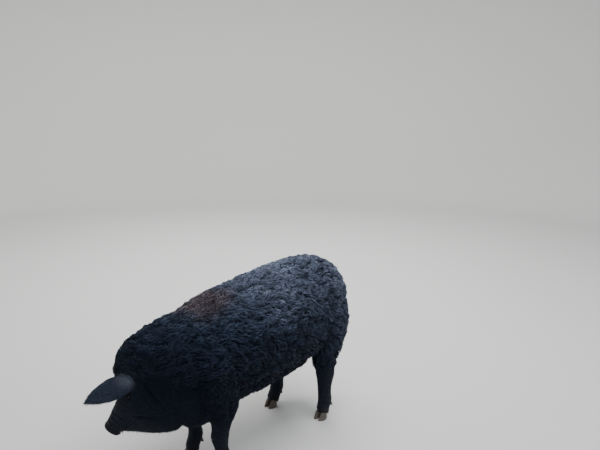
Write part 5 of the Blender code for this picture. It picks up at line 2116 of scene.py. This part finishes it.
@dataclass(frozen=True)
class HornFinish:
    """Dull grey-brown horn with growth rings, scratches and dust near the floor."""

    name: str
    pale: Colour = (0.105, 0.088, 0.072)
    dark: Colour = (0.030, 0.026, 0.024)
    dust: Colour = (0.125, 0.098, 0.078)

    def make(self) -> bpy.types.Material:
        """Builds the material.

        Returns:
            The material.
        """
        wiring = Wiring(self.name)
        place = wiring.place()
        cloud = wiring.noise(place, 60.0, 4.0)
        streaks = wiring.noise(place, 220.0, 3.0, (1.0, 1.0, 0.12))
        rings = wiring.noise(place, 150.0, 2.0, (0.10, 0.10, 3.0))
        colour = wiring.blend((cloud * 0.6 + streaks * 0.5 - 0.05), self.dark, self.pale)
        dust = (wiring.axis(place, "Z") + cloud * 0.020).rises(0.034, 0.004)
        colour = wiring.blend(dust * 0.6, colour, self.dust)
        normal = wiring.bump(streaks, 0.0004, wiring.bump(rings, 0.0006))
        wiring.shade(Base_Color=colour, Roughness=0.42 + dust * 0.30 + (streaks - 0.5) * 0.2, Normal=normal)
        return wiring.material


@dataclass(frozen=True)
class FloorFinish:
    """A plain pale floor."""

    name: str
    colour: Colour = (0.52, 0.51, 0.49)
    cloud: Colour = (0.48, 0.47, 0.455)

    def make(self) -> bpy.types.Material:
        """Builds the material.

        Returns:
            The material.
        """
        wiring = Wiring(self.name)
        cloud = wiring.noise(wiring.place(), 0.8, 3.0)
        wiring.shade(Base_Color=wiring.blend(cloud * 0.5, self.colour, self.cloud), Roughness=0.80)
        return wiring.material


@dataclass
class Studio:
    """The floor, the lights and the camera at the photograph's place."""

    focal: float = 703.0
    picture: float = 600.0
    sensor: float = 36.0
    place: Vector = field(default_factory=lambda: Vector((2.181, 2.147, 1.844)))
    yaw: float = math.radians(-139.93)
    pitch: float = math.radians(14.15)

    def floor(self) -> None:
        """A wide pale floor that curves up into a low wall all round."""
        bm = bmesh.new()
        bmesh.ops.create_grid(bm, x_segments=90, y_segments=90, size=10)
        for vert in bm.verts:
            rise = held((vert.co.xy.length - 5.5) / 4.0)
            vert.co.z = 3.6 * rise * rise * (3 - 2 * rise) - 0.0004
        floor = as_object("floor", bm)
        floor.data.shade_smooth()
        floor.data.materials.append(FloorFinish("floor").make())

    def light(self, name: str, spot: Row, size: float, power: float, colour: Colour,
              aim: Row = (0.0, 0.0, 0.4)) -> None:
        """Sets up one square soft light.

        Args:
            name: The light's name.
            spot: Where it hangs.
            size: Its side.
            power: Its power in watts.
            colour: Its colour.
            aim: The point that it faces, on the animal if none is given.
        """
        lamp = bpy.data.lights.new(name, "AREA")
        lamp.size = size
        lamp.energy = power
        lamp.color = colour
        thing = placed(name, lamp)
        thing.location = spot
        thing.rotation_euler = (Vector(aim) - Vector(spot)).to_track_quat("-Z", "Y").to_euler()

    def lights(self) -> None:
        """A high soft key, with a fill and a rim."""
        self.light("key", (-0.5, 1.5, 4.2), 3.2, 250, (0.94, 0.97, 1.0))
        self.light("fill", (3.6, 0.6, 2.4), 2.6, 30, (1.0, 0.98, 0.95))
        self.light("back", (-2.6, -2.4, 3.2), 2.4, 80, (0.93, 0.97, 1.0))
        self.light("backdrop", (-1.2, -1.2, 5.4), 3.0, 420, (1.0, 1.0, 1.0), (-6.0, -6.0, 0.8))
        world = bpy.data.worlds.new("studio")
        world.use_nodes = True
        sky = world.node_tree.nodes["Background"]
        sky.inputs[0].default_value = (0.86, 0.90, 0.96, 1.0)
        sky.inputs[1].default_value = 0.50
        bpy.context.scene.world = world

    def camera(self) -> None:
        """Sets up the camera."""
        lens = bpy.data.cameras.new("camera")
        lens.sensor_width = self.sensor
        lens.lens = self.sensor * self.focal / self.picture
        camera = placed("camera", lens)
        ahead = Vector((math.cos(self.yaw) * math.cos(self.pitch), math.sin(self.yaw) * math.cos(self.pitch),
                        -math.sin(self.pitch)))
        camera.location = self.place + SHIFT
        camera.rotation_euler = ahead.to_track_quat("-Z", "Y").to_euler()
        bpy.context.scene.camera = camera

    def build(self) -> None:
        """Sets up the floor, lights and camera."""
        self.floor()
        self.lights()
        self.camera()


@dataclass
class Pig:
    """The whole animal."""

    skin: Skin = field(default_factory=Skin)

    def settle(self, thing: bpy.types.Object, material: bpy.types.Material, slot: str,
               *nodes: str) -> None:
        """Moves a finished piece over the solids, and gives it its finish and body.

        Args:
            thing: The piece.
            material: Its material.
            slot: Not used.
            *nodes: The solids that it stands for.
        """
        thing.data.transform(Matrix.Translation(SHIFT))
        thing.data.materials.clear()
        thing.data.materials.append(material)
        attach(thing, "root")
        if nodes:
            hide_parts(*nodes)
        LOG.info("%s: %d faces", thing.name, len(thing.data.polygons))

    def build(self) -> None:
        """Builds and dresses every piece."""
        draw = np.random.default_rng(SEED)
        # The crowns are the middles of the painted highlights over the ears' roots
        markings = Markings(crowns=tuple(ear.crown() for ear in self.skin.ears))
        body = self.skin.build()
        self.skin.unwrap(body)
        body.data.shade_smooth()
        surface = SkinField.read(body)
        hair = CoatFinish("hair").make(markings)
        coat = Coat(self.skin, surface, draw)
        for piece in coat.build():
            self.settle(piece, hair, "coat")
        places = read_points(body.data)
        mark(body, "ear", coat.ear_share(places))
        # The body coat's share, where the skin gets painted shade under the hair
        mark(body, "covered", coat.regions(places)[Region.BODY])
        for piece in Switch(draw).build(surface) + Bristles(self.skin, draw).build(surface):
            self.settle(piece, hair, "coat")
        for socket, name in zip(self.skin.sockets, ("left", "right")):
            eye = Eye(socket)
            self.settle(eye.ball(f"eyeball_{name}"), EyeFinish(f"eye_{name}").make(socket), "eye",
                        f"eye_{name}")
            for piece in eye.lashes(f"lashes_{name}", draw):
                self.settle(piece, hair, "coat")
        horn = HornFinish("horn").make()
        for leg in self.skin.legs:
            label = leg.name.replace("leg", "")
            for out, word in ((1, "outer"), (-1, "inner")):
                claw = Claw(leg, out)
                self.settle(claw.main_claw(f"hoof_{label}_{word}"), horn, "horn", f"{label}_claw_{word}")
                self.settle(claw.dewclaw(f"small_hoof_{label}_{word}"), horn, "horn",
                            f"{label}_dewclaw_{word}")
        self.settle(body, SkinFinish("skin").make(markings), "face", "torso", "neck", "head", "snout",
                    "ear_left", "ear_right", "tail", *[leg.name for leg in self.skin.legs])


def main() -> None:
    """Builds the pig and its studio."""
    logging.basicConfig(level=logging.INFO, format="%(message)s")
    Pig().build()
    Studio().build()


if __name__ == "__main__":
    main()
